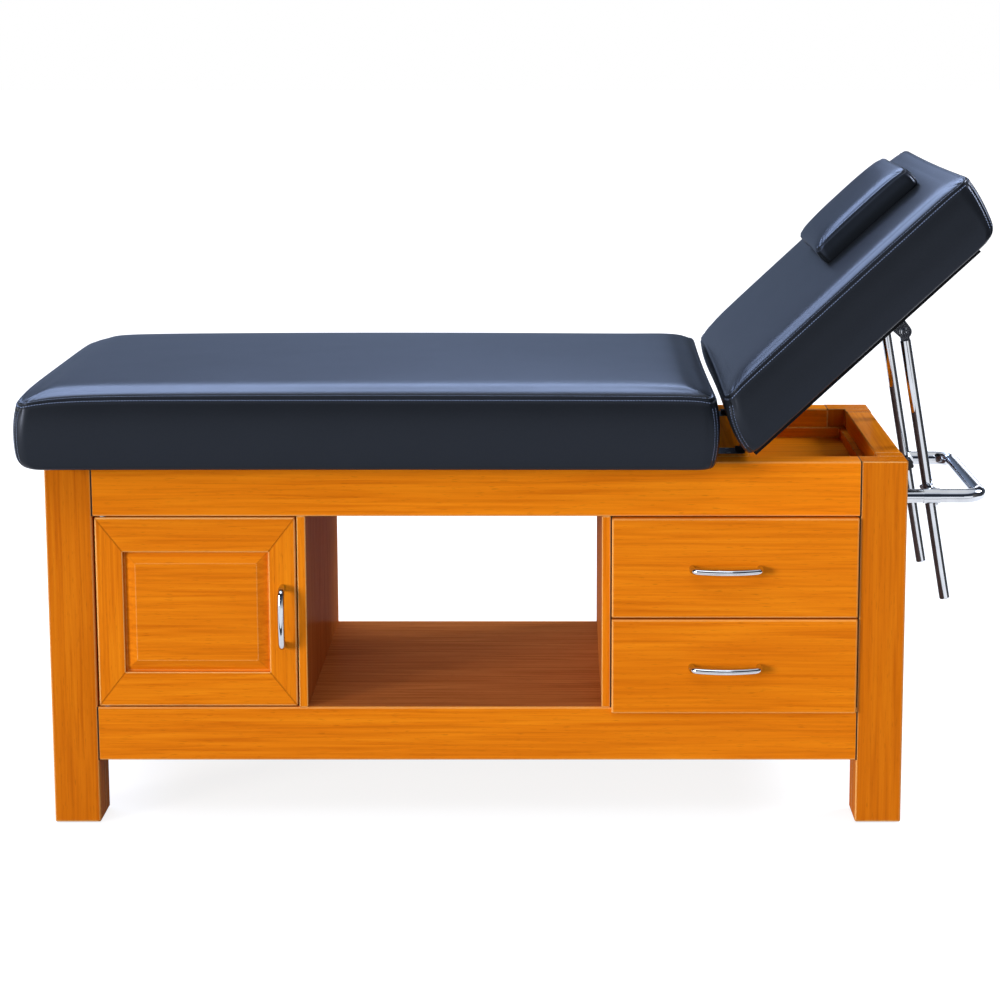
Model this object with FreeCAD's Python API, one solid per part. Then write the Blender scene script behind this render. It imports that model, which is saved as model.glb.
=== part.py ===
import FreeCAD, Part
import math
import os
from FreeCAD import Vector

# Spa bed with a cabinet base, in millimetres.
# X runs from the foot end to the head end, the front with the door faces -Y, and Z is up from the floor.
# Everything is laid out from the foot end of the wooden frame, and the finished solids are moved
# along X at the very end, so that the origin lies on the floor under the middle of the bed.

# Wooden frame
frame_beyond_hinge = 281.0
frame_width = 540.0
frame_height = 664.0
leg_width = 82.0
leg_depth = 80.0
top_rail_thickness = 48.0
top_rail_height = 98.0
head_rail_height = 140.0
bottom_rail_thickness = 24.0
bottom_rail_height = 98.0
bottom_rail_lift = 119.0
bottom_rail_lip = 6.0
end_bottom_rail_thickness = 20.0
edge_round = 2.5
edge_chamfer = 1.5
leg_foot_chamfer = 2.0
tenon_length = 25.0
tenon_shoulder = 18.0
tenon_thickness_share = 1 / 3
cross_rail_width = 60.0
cross_rail_overlap = 7.0
glide_radius = 15.0
glide_thickness = 3.0
glide_stem_radius = 4.0
glide_stem_length = 12.0

# Panels of the cabinet
panel_thickness = 16.0
divider_thickness = 15.0
lipping_depth = 8.0
back_thickness = 6.0
back_inset = 6.0
tray_depth = 55.0
tray_floor_thickness = 15.0
cleat_width = 20.0
cleat_height = 20.0
bead_width = 12.0
bead_height = 20.0
cupboard_width = 361.0
shelf_width = 524.0

# Door
door_thickness = 22.0
door_side_gap = 4.0
door_free_gap = 3.0
door_low_gap = 2.5
door_top_gap = 2.5
stile_width = 48.0
door_rail_width = 62.0
door_groove_depth = 8.0
door_tongue_thickness = 6.0
door_panel_gap = 2.5
door_bevel_width = 19.0
door_field_setback = 1.5
door_pivot_from_edge = 13.0
door_pivot_from_face = 10.0
pivot_pin_radius = 3.0
pivot_pin_depth_in_door = 12.0
pivot_pin_depth_in_frame = 14.0
pivot_collar_radius = 6.0
door_handle_centres = 104.0
door_handle_rise = 385.0
catch_width = 12.0
catch_depth = 18.0
catch_height = 36.0
catch_from_top = 12.0
strike_thickness = 1.5
strike_width = 15.0
strike_height = 26.0

# Drawers
drawer_front_thickness = 20.0
drawer_front_proud = 8.0
drawer_side_gap = 2.5
drawer_split_gap = 3.5
drawer_top_gap = 2.5
drawer_lip = 9.0
upper_front_extra = 8.0
drawer_box_side = 12.0
drawer_box_bottom = 6.0
drawer_box_depth = 400.0
drawer_box_headroom = 27.0
drawer_box_rise = 18.0
runner_thickness = 12.7
runner_height = 45.0
runner_sheet = 1.5
runner_length = 400.0
runner_setback = 2.0
runner_inner_thickness = 10.0
drawer_handle_centres = 120.0
drawer_handle_offset = -16.0

# Bow handles
handle_radius = 6.0
handle_stand_off = 30.0
handle_bow_radius = 180.0
handle_corner_radius = 12.0

# Upholstery
pad_side_overhang = 77.0
seat_foot_overhang = 30.0
seat_pad_thickness = 119.0
seat_pad_length = 1208.0
pad_corner_radius = 20.0
pad_draw_in = 3.5
pad_bulge = 9.0
pad_crown = 14.0
pad_underside_round = 7.0
seat_board_thickness = 18.0
board_inset = 8.0
backrest_pad_thickness = 97.5
backrest_board_thickness = 21.0
backrest_seam_length = 570.0
backrest_low_bevel = 36.0
backrest_top_bevel = 27.0
backrest_board_inset = 45.0
pillow_length = 216.0
pillow_width = 280.0
pillow_side_height = 30.0
pillow_crown = 9.0
pillow_bulge = 5.0
pillow_corner_radius = 14.0
pillow_draw_in = 2.0
pillow_from_top = 64.0
soft_gap = 0.3

# Tilt of the backrest: its hinges stand a little above the frame, beyond the end of the seat pad
hinge_from_seat = 61.0
hinge_rise = 8.0
rest_tilt_deg = 43.0
flat_gap = 0.5
pad_end_from_hinge = 6.0
board_end_from_hinge = 12.0
hinge_spacing = 350.0
hinge_lug_radius = 8.0
hinge_lug_width = 12.0
hinge_ear_radius = 7.4
hinge_ear_width = 5.0
hinge_side_gap = 0.3
hinge_pin_radius = 4.0
hinge_head_radius = 6.5
hinge_head_height = 2.5
hinge_plate_thickness = 4.0
hinge_plate_length = 42.0
hinge_plate_width = 52.0
hinge_arm_length = 56.0

# Props: the eye of each prop and the swivel that it slides through lie on one circle about the
# backrest hinge, so the prop always turns by half the tilt of the backrest
clevis_drop = 42.0
swivel_from_frame = 60.3
bar_drop = 86.0
prop_radius = 9.5
prop_wall = 1.5
prop_length = 504.0
prop_eye_radius = 12.0
prop_eye_thickness = 8.0
prop_neck_length = 17.0
prop_neck_radius = 7.9
prop_plug_height = 3.0
prop_plug_depth = 14.0
clevis_sheet = 3.0
clevis_ear_radius = 13.0
clevis_plate_length = 50.0
clevis_plate_width = 36.0
clevis_ear_foot = 34.0
clevis_gap = 0.5
clevis_bolt_radius = 4.0
clevis_washer_radius = 9.0
clevis_washer_thickness = 1.5
clevis_head_radius = 6.0
clevis_head_height = 5.0
clevis_socket_radius = 2.5
clevis_socket_depth = 3.0

# Chromed bar at the head end, with the swivels on its two arms
bar_radius = 12.5
bar_wall = 2.0
bar_arm_spacing = 326.0
bar_reach = 151.5
bar_bend_radius = 34.0
bar_socket_depth = 30.0
flange_radius = 23.0
flange_thickness = 4.0
flange_screw_circle = 18.0
sleeve_wall = 1.2
sleeve_length = 30.0
sleeve_axle_radius = 5.0
sleeve_axle_reach = 6.0
sleeve_screw_radius = 5.0
sleeve_screw_dome = 4.0
sleeve_screw_offset = 8.0
swivel_length = 24.0
swivel_width = 34.0
swivel_height = 25.0
swivel_gap = 0.6
swivel_round = 4.0
knob_radius = 11.0
knob_length = 15.0
knob_gap = 1.5
knob_flute_radius = 4.0
knob_flutes = 6
knob_stem_radius = 4.0

# Fits and fastenings
running_clearance = 0.05
tip_clearance = 0.3
overrun = 5.0
screw_head_radius = 4.0
screw_shank_radius = 2.0
screw_head_height = 2.2
screw_length = 22.0
screw_proud = 0.6
plate_screw_share = 1 / 3
flange_screw_turns_deg = (90, 210, 330)
cap_round_share = 0.8

# Shares of the height of a pad's side at which its outline is taken, and of its bulge there
side_height_shares = (0.3, 0.55, 0.8)
side_bulge_shares = (0.7, 1.0, 0.72)
# Shares of the crown's rise, and of the crown's run from the seam to its flat middle
crown_rise_shares = (0.34, 0.62, 0.86, 1.0)
crown_run_shares = (0.06, 0.18, 0.46, 1.0)
crown_run_share = 0.34

# Places that follow from the sizes above. The hinge and the whole frame go with the seat's length
hinge_from_foot = seat_pad_length - seat_foot_overhang + hinge_from_seat
frame_length = hinge_from_foot + frame_beyond_hinge
half_width = frame_width / 2
rail_underside = frame_height - top_rail_height
low_rail_top = bottom_rail_lift + bottom_rail_height
head_leg_face = frame_length - leg_width
inner_half = half_width - top_rail_thickness
leg_inner_half = half_width - leg_depth
tray_top = frame_height - tray_depth
tray_underside = tray_top - tray_floor_thickness
panel_front = half_width - bottom_rail_lip
divider_left_face = leg_width + cupboard_width
shelf_left = divider_left_face + divider_thickness
divider_right_face = shelf_left + shelf_width
drawer_bay_left = divider_right_face + divider_thickness
hinge_height = frame_height + hinge_rise
board_underside = frame_height + flat_gap
backrest_base = board_underside + backrest_board_thickness
pad_half_width = half_width + pad_side_overhang
board_half_width = half_width - board_inset
arm_y = bar_arm_spacing / 2
sleeve_radius = bar_radius + sleeve_wall
prop_y = arm_y - sleeve_radius - swivel_gap - swivel_width / 2
hinge_y = hinge_spacing / 2
hinge_screw_offset = hinge_plate_width * plate_screw_share

# Eye and swivel on their circle, with the backrest flat and as it stands
bar_height = frame_height - bar_drop
swivel_x = frame_length + swivel_from_frame
swing_radius = math.hypot(swivel_x - hinge_from_foot, bar_height - hinge_height)
clevis_height_flat = board_underside - clevis_drop
clevis_angle_flat = math.asin((clevis_height_flat - hinge_height) / swing_radius)
clevis_x_flat = hinge_from_foot + swing_radius * math.cos(clevis_angle_flat)
clevis_angle = clevis_angle_flat + math.radians(rest_tilt_deg)
clevis_x = hinge_from_foot + swing_radius * math.cos(clevis_angle)
clevis_z = hinge_height + swing_radius * math.sin(clevis_angle)
prop_lean_deg = math.degrees(math.atan2(swivel_x - clevis_x, clevis_z - bar_height))

# The origin lies under the middle of the whole bed, from the bulging foot of the pad to the bar
foot_reach = -seat_foot_overhang - pad_bulge
head_reach = frame_length + bar_reach + bar_radius
origin_x = (foot_reach + head_reach) / 2

hinge_axis = Vector(0, -1, 0)
hinge_point = Vector(hinge_from_foot, 0, hinge_height)


def block(x0, x1, y0, y1, z0, z1):
    """A box between two corners."""
    return Part.makeBox(x1 - x0, y1 - y0, z1 - z0, Vector(x0, y0, z0))


def eased(shape, radius, axis):
    """Rounds the straight edges that run along one axis."""
    edges = []
    for edge in shape.Edges:
        along = edge.Vertexes[1].Point - edge.Vertexes[0].Point
        if abs(along.normalize().dot(axis)) > math.cos(math.radians(1)):
            edges.append(edge)
    return shape.makeFillet(radius, edges)


def rod(radius, start, end):
    """A cylinder from one point to another."""
    along = end - start
    return Part.makeCylinder(radius, along.Length, start, along)


def front_and_rear(shape):
    """A piece of the front half together with its mirror image in the rear half."""
    return [shape, shape.mirror(Vector(0, 0, 0), Vector(0, 1, 0))]


def tilted(shape):
    """Turns a piece built for the flat backrest up to the angle at which the bed stands."""
    turned = shape.copy()
    turned.rotate(hinge_point, hinge_axis, rest_tilt_deg)
    return turned


def leaned(shape, point):
    """Turns a piece built straight down from the origin to the lean of the props, and moves it to a point."""
    turned = shape.copy()
    turned.rotate(Vector(0, 0, 0), hinge_axis, prop_lean_deg)
    turned.translate(point)
    return turned


def wood_screw(head, direction):
    """A countersunk screw whose head's top lies at a point and whose shank runs in a direction."""
    cone = Part.makeCone(screw_head_radius, screw_shank_radius, screw_head_height, head, direction)
    tip = head + direction * screw_length
    return cone.fuse(rod(screw_shank_radius, head, tip)).removeSplitter()


def drilled(shape, tools):
    for tool in tools:
        shape = shape.cut(tool)
    return shape


# Frame

def long_rail(thickness, height, underside, outer_y):
    """A rail of the front between the legs, with a stub tenon at each end."""
    body = block(leg_width, head_leg_face, -outer_y, -outer_y + thickness, underside, underside + height)
    body = eased(body, edge_round, Vector(1, 0, 0))
    return body.fuse(long_tenons(thickness, height, underside, outer_y)).removeSplitter()


def long_tenons(thickness, height, underside, outer_y):
    margin = thickness * (1 - tenon_thickness_share) / 2
    y0 = -outer_y + margin
    y1 = -outer_y + thickness - margin
    z0 = underside + tenon_shoulder
    z1 = underside + height - tenon_shoulder
    foot = block(leg_width - tenon_length, leg_width, y0, y1, z0, z1)
    head = block(head_leg_face, head_leg_face + tenon_length, y0, y1, z0, z1)
    return [foot, head]


def end_rail(x0, thickness, height, underside):
    """A rail across the bed between a front and a rear leg, with a stub tenon at each end."""
    body = block(x0, x0 + thickness, -leg_inner_half, leg_inner_half, underside, underside + height)
    body = eased(body, edge_round, Vector(0, 1, 0))
    return body.fuse(end_tenons(x0, thickness, height, underside)).removeSplitter()


def end_tenons(x0, thickness, height, underside):
    margin = thickness * (1 - tenon_thickness_share) / 2
    z0 = underside + tenon_shoulder
    z1 = underside + height - tenon_shoulder
    front = block(x0 + margin, x0 + thickness - margin, -leg_inner_half - tenon_length, -leg_inner_half, z0, z1)
    return front_and_rear(front)


head_rail_x = frame_length - top_rail_thickness
head_rail_underside = frame_height - head_rail_height
foot_low_rail_x = leg_width - end_bottom_rail_thickness

top_rail_sizes = (top_rail_thickness, top_rail_height, rail_underside, half_width)
bottom_rail_sizes = (bottom_rail_thickness, bottom_rail_height, bottom_rail_lift, half_width)
foot_rail_sizes = (0, top_rail_thickness, top_rail_height, rail_underside)
head_rail_sizes = (head_rail_x, top_rail_thickness, head_rail_height, head_rail_underside)
foot_low_rail_sizes = (foot_low_rail_x, end_bottom_rail_thickness, bottom_rail_height, bottom_rail_lift)
head_low_rail_sizes = (head_leg_face, end_bottom_rail_thickness, bottom_rail_height, bottom_rail_lift)


def leg(x0, inner_x0, stem):
    """A front leg glued up from staves, with its inner top corner cut away for the tray and mortises cut in.

    The outer stave runs the full height, the inner one stops under the tray, and a corner block stands on it.
    """
    body = block(x0, x0 + leg_width, -half_width, -leg_inner_half, glide_thickness, frame_height)
    body = eased(body, edge_round, Vector(0, 0, 1))
    foot_edges = [e for e in body.Edges if abs(e.BoundBox.ZMax - glide_thickness) < tip_clearance]
    body = body.makeChamfer(leg_foot_chamfer, foot_edges)
    corner = block(inner_x0, inner_x0 + leg_width, -inner_half, 0, tray_underside, frame_height + overrun)
    mortises = long_tenons(*top_rail_sizes) + long_tenons(*bottom_rail_sizes)
    for sizes in (foot_rail_sizes, head_rail_sizes, foot_low_rail_sizes, head_low_rail_sizes):
        mortises += end_tenons(*sizes)
    body = drilled(body, [corner, stem] + mortises)
    x1 = x0 + leg_width
    staves = [block(x0, x1, -half_width, -inner_half, 0, frame_height),
              block(x0, x1, -inner_half, -leg_inner_half, 0, tray_underside),
              block(x0, x1, -inner_half, -leg_inner_half, tray_underside, frame_height)]
    return [body.common(stave) for stave in staves]


def glide_stem(x):
    top = Vector(x, -half_width + leg_depth / 2, glide_thickness + glide_stem_length)
    return rod(glide_stem_radius, top - Vector(0, 0, glide_stem_length), top)


def glide(x):
    centre = Vector(x, -half_width + leg_depth / 2, 0)
    disc = Part.makeCylinder(glide_radius, glide_thickness, centre)
    return disc.fuse(glide_stem(x)).removeSplitter()


def build_frame(nodes):
    foot_centre = leg_width / 2
    head_centre = frame_length - leg_width / 2
    foot_leg = leg(0, top_rail_thickness, glide_stem(foot_centre))
    head_leg = leg(head_leg_face, head_rail_x - leg_width, glide_stem(head_centre))
    for name, staves in (("leg_foot", foot_leg), ("leg_head", head_leg)):
        pairs = [front_and_rear(stave) for stave in staves]
        nodes[name + "_front"], nodes[name + "_rear"] = [list(side) for side in zip(*pairs)]
    nodes["foot_glides"] = front_and_rear(glide(foot_centre)) + front_and_rear(glide(head_centre))

    pivot_x = leg_width + door_side_gap + door_pivot_from_edge
    pins = door_pivot_pins(pivot_x)
    top_rail = long_rail(*top_rail_sizes)
    nodes["top_rail_front"] = drilled(top_rail, pins)
    nodes["top_rail_rear"] = front_and_rear(top_rail)[1]
    rebate = block(0, frame_length, -panel_front, -half_width + bottom_rail_thickness + overrun,
                   low_rail_top - panel_thickness, low_rail_top + overrun)
    bottom_rail = long_rail(*bottom_rail_sizes).cut(rebate)
    nodes["bottom_rail_front"], nodes["bottom_rail_rear"] = front_and_rear(bottom_rail)
    nodes["door_pivot_pins"] = pins

    nodes["top_rail_foot"] = end_rail(*foot_rail_sizes)
    sockets = front_and_rear(rod(bar_radius, Vector(frame_length - bar_socket_depth, -arm_y, bar_height),
                                 Vector(frame_length + overrun, -arm_y, bar_height)))
    screws = flange_screws()
    nodes["top_rail_head"] = drilled(end_rail(*head_rail_sizes), sockets + screws)
    nodes["bottom_end_rails"] = [end_rail(*foot_low_rail_sizes), end_rail(*head_low_rail_sizes)]


# Cabinet

def build_cabinet(nodes):
    panel = block(leg_width, head_leg_face, -panel_front, panel_front, low_rail_top - panel_thickness, low_rail_top)
    nodes["bottom_panel"] = drilled(panel, nodes["door_pivot_pins"])
    nodes["tray_floor"] = block(top_rail_thickness, head_rail_x, -inner_half, inner_half, tray_underside, tray_top)
    cleat = block(leg_width, head_leg_face, -inner_half, -inner_half + cleat_width,
                  tray_underside - cleat_height, tray_underside)
    nodes["tray_cleats"] = front_and_rear(cleat)
    bead_top = tray_top + bead_height
    long_bead = block(top_rail_thickness, head_rail_x, -inner_half, -inner_half + bead_width, tray_top, bead_top)
    short_half = inner_half - bead_width
    foot_bead = block(top_rail_thickness, top_rail_thickness + bead_width, -short_half, short_half, tray_top, bead_top)
    head_bead = block(head_rail_x - bead_width, head_rail_x, -short_half, short_half, tray_top, bead_top)
    nodes["tray_beads"] = front_and_rear(long_bead) + [foot_bead, head_bead]

    cuts = [nodes["top_rail_front"], nodes["top_rail_rear"]] + nodes["tray_cleats"]
    lippings = []
    for name, x0 in (("divider_left", divider_left_face), ("divider_right", divider_right_face)):
        x1 = x0 + divider_thickness
        board = block(x0, x1, -half_width + lipping_depth, half_width - lipping_depth, low_rail_top, tray_underside)
        nodes[name] = drilled(board, cuts)
        lipping = block(x0, x1, -half_width, -half_width + lipping_depth, low_rail_top, rail_underside)
        lippings += front_and_rear(lipping)
    nodes["divider_lippings"] = drilled_each(lippings, [nodes["bottom_rail_front"], nodes["bottom_rail_rear"]])

    foot_panel = block(leg_width - panel_thickness, leg_width, -leg_inner_half, leg_inner_half,
                       low_rail_top, tray_underside)
    head_panel = block(head_leg_face, head_leg_face + panel_thickness, -leg_inner_half, leg_inner_half,
                       low_rail_top, tray_underside)
    nodes["end_panels"] = [foot_panel, head_panel]
    back_y = half_width - back_inset
    cupboard_back = block(leg_width, divider_left_face, back_y - back_thickness, back_y, low_rail_top, rail_underside)
    drawer_back = block(drawer_bay_left, head_leg_face, back_y - back_thickness, back_y, low_rail_top, rail_underside)
    nodes["back_panels"] = [cupboard_back, drawer_back]

    catch_y = -half_width + door_thickness + strike_thickness + tip_clearance
    catch_top = rail_underside - catch_from_top
    nodes["door_catch"] = block(divider_left_face - catch_width, divider_left_face, catch_y, catch_y + catch_depth,
                                catch_top - catch_height, catch_top)


def drilled_each(shapes, tools):
    return [drilled(shape, tools) for shape in shapes]


# Door

def door_pivot_pins(x):
    """A pin with a collar under the door and one above it."""
    y = -half_width + door_pivot_from_face
    low = low_rail_top + door_low_gap
    high = rail_underside - door_top_gap
    low_pin = rod(pivot_pin_radius, Vector(x, y, low_rail_top - pivot_pin_depth_in_frame),
                  Vector(x, y, low + pivot_pin_depth_in_door - tip_clearance))
    low_collar = rod(pivot_collar_radius, Vector(x, y, low_rail_top), Vector(x, y, low - tip_clearance))
    high_pin = rod(pivot_pin_radius, Vector(x, y, high - pivot_pin_depth_in_door + tip_clearance),
                   Vector(x, y, rail_underside + pivot_pin_depth_in_frame))
    high_collar = rod(pivot_collar_radius, Vector(x, y, high + tip_clearance), Vector(x, y, rail_underside))
    return [low_pin.fuse(low_collar).removeSplitter(), high_pin.fuse(high_collar).removeSplitter()]


def bow_handle(centres):
    """A round bow pull along X, standing off towards -Y from the plane Y = 0."""
    half = centres / 2
    bow_centre = handle_stand_off - handle_bow_radius
    reach = handle_bow_radius - handle_corner_radius
    post = bow_centre + math.sqrt(reach ** 2 - (half - handle_corner_radius) ** 2)
    corner = Vector(half - handle_corner_radius, -post, 0)
    outward = (corner - Vector(0, -bow_centre, 0)).normalize()
    touch = corner + outward * handle_corner_radius
    start_way = Vector(1, 0, 0)
    middle = corner + (outward + start_way).normalize() * handle_corner_radius
    foot = Vector(half, 0, 0)
    knee = Vector(half, -post, 0)
    apex = Vector(0, -handle_stand_off, 0)

    def left(point):
        return Vector(-point.x, point.y, point.z)

    edges = [Part.LineSegment(left(foot), left(knee)).toShape(),
             Part.Arc(left(knee), left(middle), left(touch)).toShape(),
             Part.Arc(left(touch), apex, touch).toShape(),
             Part.Arc(touch, middle, knee).toShape(),
             Part.LineSegment(knee, foot).toShape()]
    path = Part.Wire(edges)
    ring = Part.Wire(Part.Circle(left(foot), Vector(0, 1, 0), handle_radius).toShape())
    return path.makePipeShell([ring], True, False)


def mitred(piece, x0, x1, z0, z1, inset_x, inset_z, keep):
    """Keeps the part of a door frame member between its two mitres."""
    if keep == "left":
        points = [(x0, z0), (x0, z1), (x0 + inset_x, z1 - inset_z), (x0 + inset_x, z0 + inset_z)]
    elif keep == "right":
        points = [(x1, z0), (x1, z1), (x1 - inset_x, z1 - inset_z), (x1 - inset_x, z0 + inset_z)]
    elif keep == "top":
        points = [(x0, z1), (x1, z1), (x1 - inset_x, z1 - inset_z), (x0 + inset_x, z1 - inset_z)]
    else:
        points = [(x0, z0), (x1, z0), (x1 - inset_x, z0 + inset_z), (x0 + inset_x, z0 + inset_z)]
    y = -half_width - overrun
    outline = Part.makePolygon([Vector(px, y, pz) for px, pz in points + points[:1]])
    prism = Part.Face(outline).extrude(Vector(0, door_thickness + 2 * overrun, 0))
    return piece.common(prism)


def rectangle_wire(x0, x1, z0, z1, y):
    corners = [(x0, z0), (x1, z0), (x1, z1), (x0, z1), (x0, z0)]
    return Part.makePolygon([Vector(px, y, pz) for px, pz in corners])


def build_door(nodes):
    x0 = leg_width + door_side_gap
    x1 = divider_left_face - door_free_gap
    z0 = low_rail_top + door_low_gap
    z1 = rail_underside - door_top_gap
    face = -half_width
    back = face + door_thickness
    slab = block(x0, x1, face, back, z0, z1)
    outer_edges = [e for e in slab.Edges if e.BoundBox.YMax < face + tip_clearance]
    slab = slab.makeChamfer(edge_chamfer, outer_edges)
    ix0, ix1 = x0 + stile_width, x1 - stile_width
    iz0, iz1 = z0 + door_rail_width, z1 - door_rail_width
    opening = block(ix0, ix1, face - overrun, back + overrun, iz0, iz1)
    middle = face + door_thickness / 2
    groove = block(ix0 - door_groove_depth, ix1 + door_groove_depth, middle - door_tongue_thickness / 2,
                   middle + door_tongue_thickness / 2, iz0 - door_groove_depth, iz1 + door_groove_depth)
    ring = slab.cut(opening).cut(groove)
    holes = [running_hole(pin) for pin in nodes["door_pivot_pins"]]
    members = {}
    for keep in ("left", "right", "top", "low"):
        member = mitred(ring, x0, x1, z0, z1, stile_width, door_rail_width, keep)
        members[keep] = drilled(member, holes)
    nodes["door_stiles"] = [members["left"], members["right"]]
    nodes["door_rails"] = [members["top"], members["low"]]

    tongue_edge = door_groove_depth - tip_clearance
    tongue = block(ix0 - tongue_edge, ix1 + tongue_edge, middle - door_tongue_thickness / 2,
                   middle + door_tongue_thickness / 2, iz0 - tongue_edge, iz1 + tongue_edge)
    px0, px1 = ix0 + door_panel_gap, ix1 - door_panel_gap
    pz0, pz1 = iz0 + door_panel_gap, iz1 - door_panel_gap
    field_y = face + door_field_setback
    base = rectangle_wire(px0, px1, pz0, pz1, middle)
    foot = rectangle_wire(px0, px1, pz0, pz1, middle - door_tongue_thickness / 2)
    field = rectangle_wire(px0 + door_bevel_width, px1 - door_bevel_width,
                           pz0 + door_bevel_width, pz1 - door_bevel_width, field_y)
    raised = Part.makeLoft([base, foot, field], True, True)
    nodes["door_panel"] = tongue.fuse(raised).removeSplitter()

    handle = bow_handle(door_handle_centres)
    handle.rotate(Vector(0, 0, 0), Vector(0, 1, 0), 90)
    handle.translate(Vector(x1 - stile_width / 2, face, door_handle_rise))
    nodes["door_handle"] = handle
    strike_x = divider_left_face - catch_width / 2
    strike_z = rail_underside - catch_from_top - catch_height / 2
    nodes["door_strike"] = block(strike_x - strike_width / 2, min(strike_x + strike_width / 2, x1), back,
                                 back + strike_thickness, strike_z - strike_height / 2, strike_z + strike_height / 2)


def running_hole(pin):
    """The hole that a pivot pin turns in, a little wider than the pin."""
    box = pin.BoundBox
    centre = Vector(box.Center.x, box.Center.y, box.ZMin)
    return Part.makeCylinder(pivot_pin_radius + running_clearance, box.ZLength, centre)


# Drawers

def drawer_levels():
    """Underside and top of each drawer's front. They share the bay, the upper one a little higher."""
    top = rail_underside - drawer_top_gap
    low = low_rail_top - drawer_lip
    upper_low = top - (top - low - drawer_split_gap + upper_front_extra) / 2
    lower_top = upper_low - drawer_split_gap
    return {"upper": (upper_low, top), "lower": (low, lower_top)}


def drawer_box_floor(name):
    """Underside of a drawer's box. The lower one also clears the cabinet's bottom panel."""
    low, top = drawer_levels()[name]
    return max(low, low_rail_top) + drawer_box_rise


def drawer_box_height():
    """Both boxes are as high as the lower front leaves room for."""
    low, top = drawer_levels()["lower"]
    return top - drawer_box_headroom - drawer_box_floor("lower")


def runner_centre(name):
    return drawer_box_floor(name) + drawer_box_height() / 2


def runner_pair(x, side, z):
    """The fixed channel and the sliding bar on one side of a drawer. side is 1 where they face +X."""
    y0 = -half_width - drawer_front_proud + drawer_front_thickness + runner_setback
    y1 = y0 + runner_length
    half = runner_height / 2
    open_x = x + side * (runner_thickness - running_clearance)
    web_x = x + side * runner_sheet
    outer = block(min(x, open_x), max(x, open_x), y0, y1, z - half, z + half)
    hollow = block(min(web_x, open_x + side * overrun), max(web_x, open_x + side * overrun),
                   y0 - overrun, y1 + overrun, z - half + runner_sheet, z + half - runner_sheet)
    inner_half = half - runner_sheet - tip_clearance
    box_x = x + side * runner_thickness
    bar_x = box_x - side * runner_inner_thickness
    bar = block(min(bar_x, box_x), max(bar_x, box_x), y0, y1, z - inner_half, z + inner_half)
    return outer.cut(hollow), bar


def build_drawers(nodes):
    fixed = []
    front_y = -half_width - drawer_front_proud
    back_y = front_y + drawer_front_thickness
    x0 = drawer_bay_left + drawer_side_gap
    x1 = head_leg_face - drawer_side_gap
    box_x0 = drawer_bay_left + runner_thickness
    box_x1 = head_leg_face - runner_thickness
    side = drawer_box_side
    for name in ("upper", "lower"):
        low, top = drawer_levels()[name]
        front = block(x0, x1, front_y, back_y, low, top)
        edges = [e for e in front.Edges if e.BoundBox.YMax < front_y + tip_clearance]
        front = front.makeFillet(edge_round, edges)
        if low < low_rail_top:
            behind_lip = block(x0 - overrun, x1 + overrun, -half_width - tip_clearance, back_y + overrun,
                               low - overrun, low_rail_top + door_low_gap)
            front = front.cut(behind_lip)
        nodes["drawer_front_" + name] = front

        floor = drawer_box_floor(name)
        ceiling = floor + drawer_box_height()
        end_y = back_y + drawer_box_depth
        boards = [block(box_x0, box_x0 + side, back_y, end_y, floor, ceiling),
                  block(box_x1 - side, box_x1, back_y, end_y, floor, ceiling),
                  block(box_x0 + side, box_x1 - side, back_y, back_y + side, floor, ceiling),
                  block(box_x0 + side, box_x1 - side, end_y - side, end_y, floor, ceiling),
                  block(box_x0 + side, box_x1 - side, back_y + side, end_y - side,
                        floor + drawer_box_bottom, floor + 2 * drawer_box_bottom)]
        nodes["drawer_box_" + name] = boards

        left_channel, left_bar = runner_pair(drawer_bay_left, 1, runner_centre(name))
        right_channel, right_bar = runner_pair(head_leg_face, -1, runner_centre(name))
        fixed += [left_channel, right_channel]
        nodes["drawer_slides_" + name] = [left_bar, right_bar]

        handle = bow_handle(drawer_handle_centres)
        handle.translate(Vector((x0 + x1) / 2 + drawer_handle_offset, front_y, (low + top) / 2))
        nodes["drawer_handle_" + name] = handle
    nodes["drawer_runners"] = fixed


# Upholstery

def pad_outline(x0, x1, half, radius, draw, z):
    """Outline of a pad at one height: rounded corners, and sides that draw in between them."""
    diagonal = radius * (1 - math.sqrt(2) / 2)
    mid_x = (x0 + x1) / 2
    points = [Vector(x0 + radius, -half, z), Vector(mid_x, -half + draw, z), Vector(x1 - radius, -half, z),
              Vector(x1 - diagonal, -half + diagonal, z), Vector(x1, -half + radius, z),
              Vector(x1 - draw, 0, z), Vector(x1, half - radius, z),
              Vector(x1 - diagonal, half - diagonal, z), Vector(x1 - radius, half, z),
              Vector(mid_x, half - draw, z), Vector(x0 + radius, half, z),
              Vector(x0 + diagonal, half - diagonal, z), Vector(x0, half - radius, z),
              Vector(x0 + draw, 0, z), Vector(x0, -half + radius, z),
              Vector(x0 + diagonal, -half + diagonal, z), Vector(x0 + radius, -half, z)]
    edges = []
    for first in range(0, len(points) - 1, 2):
        edges.append(Part.Arc(points[first], points[first + 1], points[first + 2]).toShape())
    return Part.Wire(edges)


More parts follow.
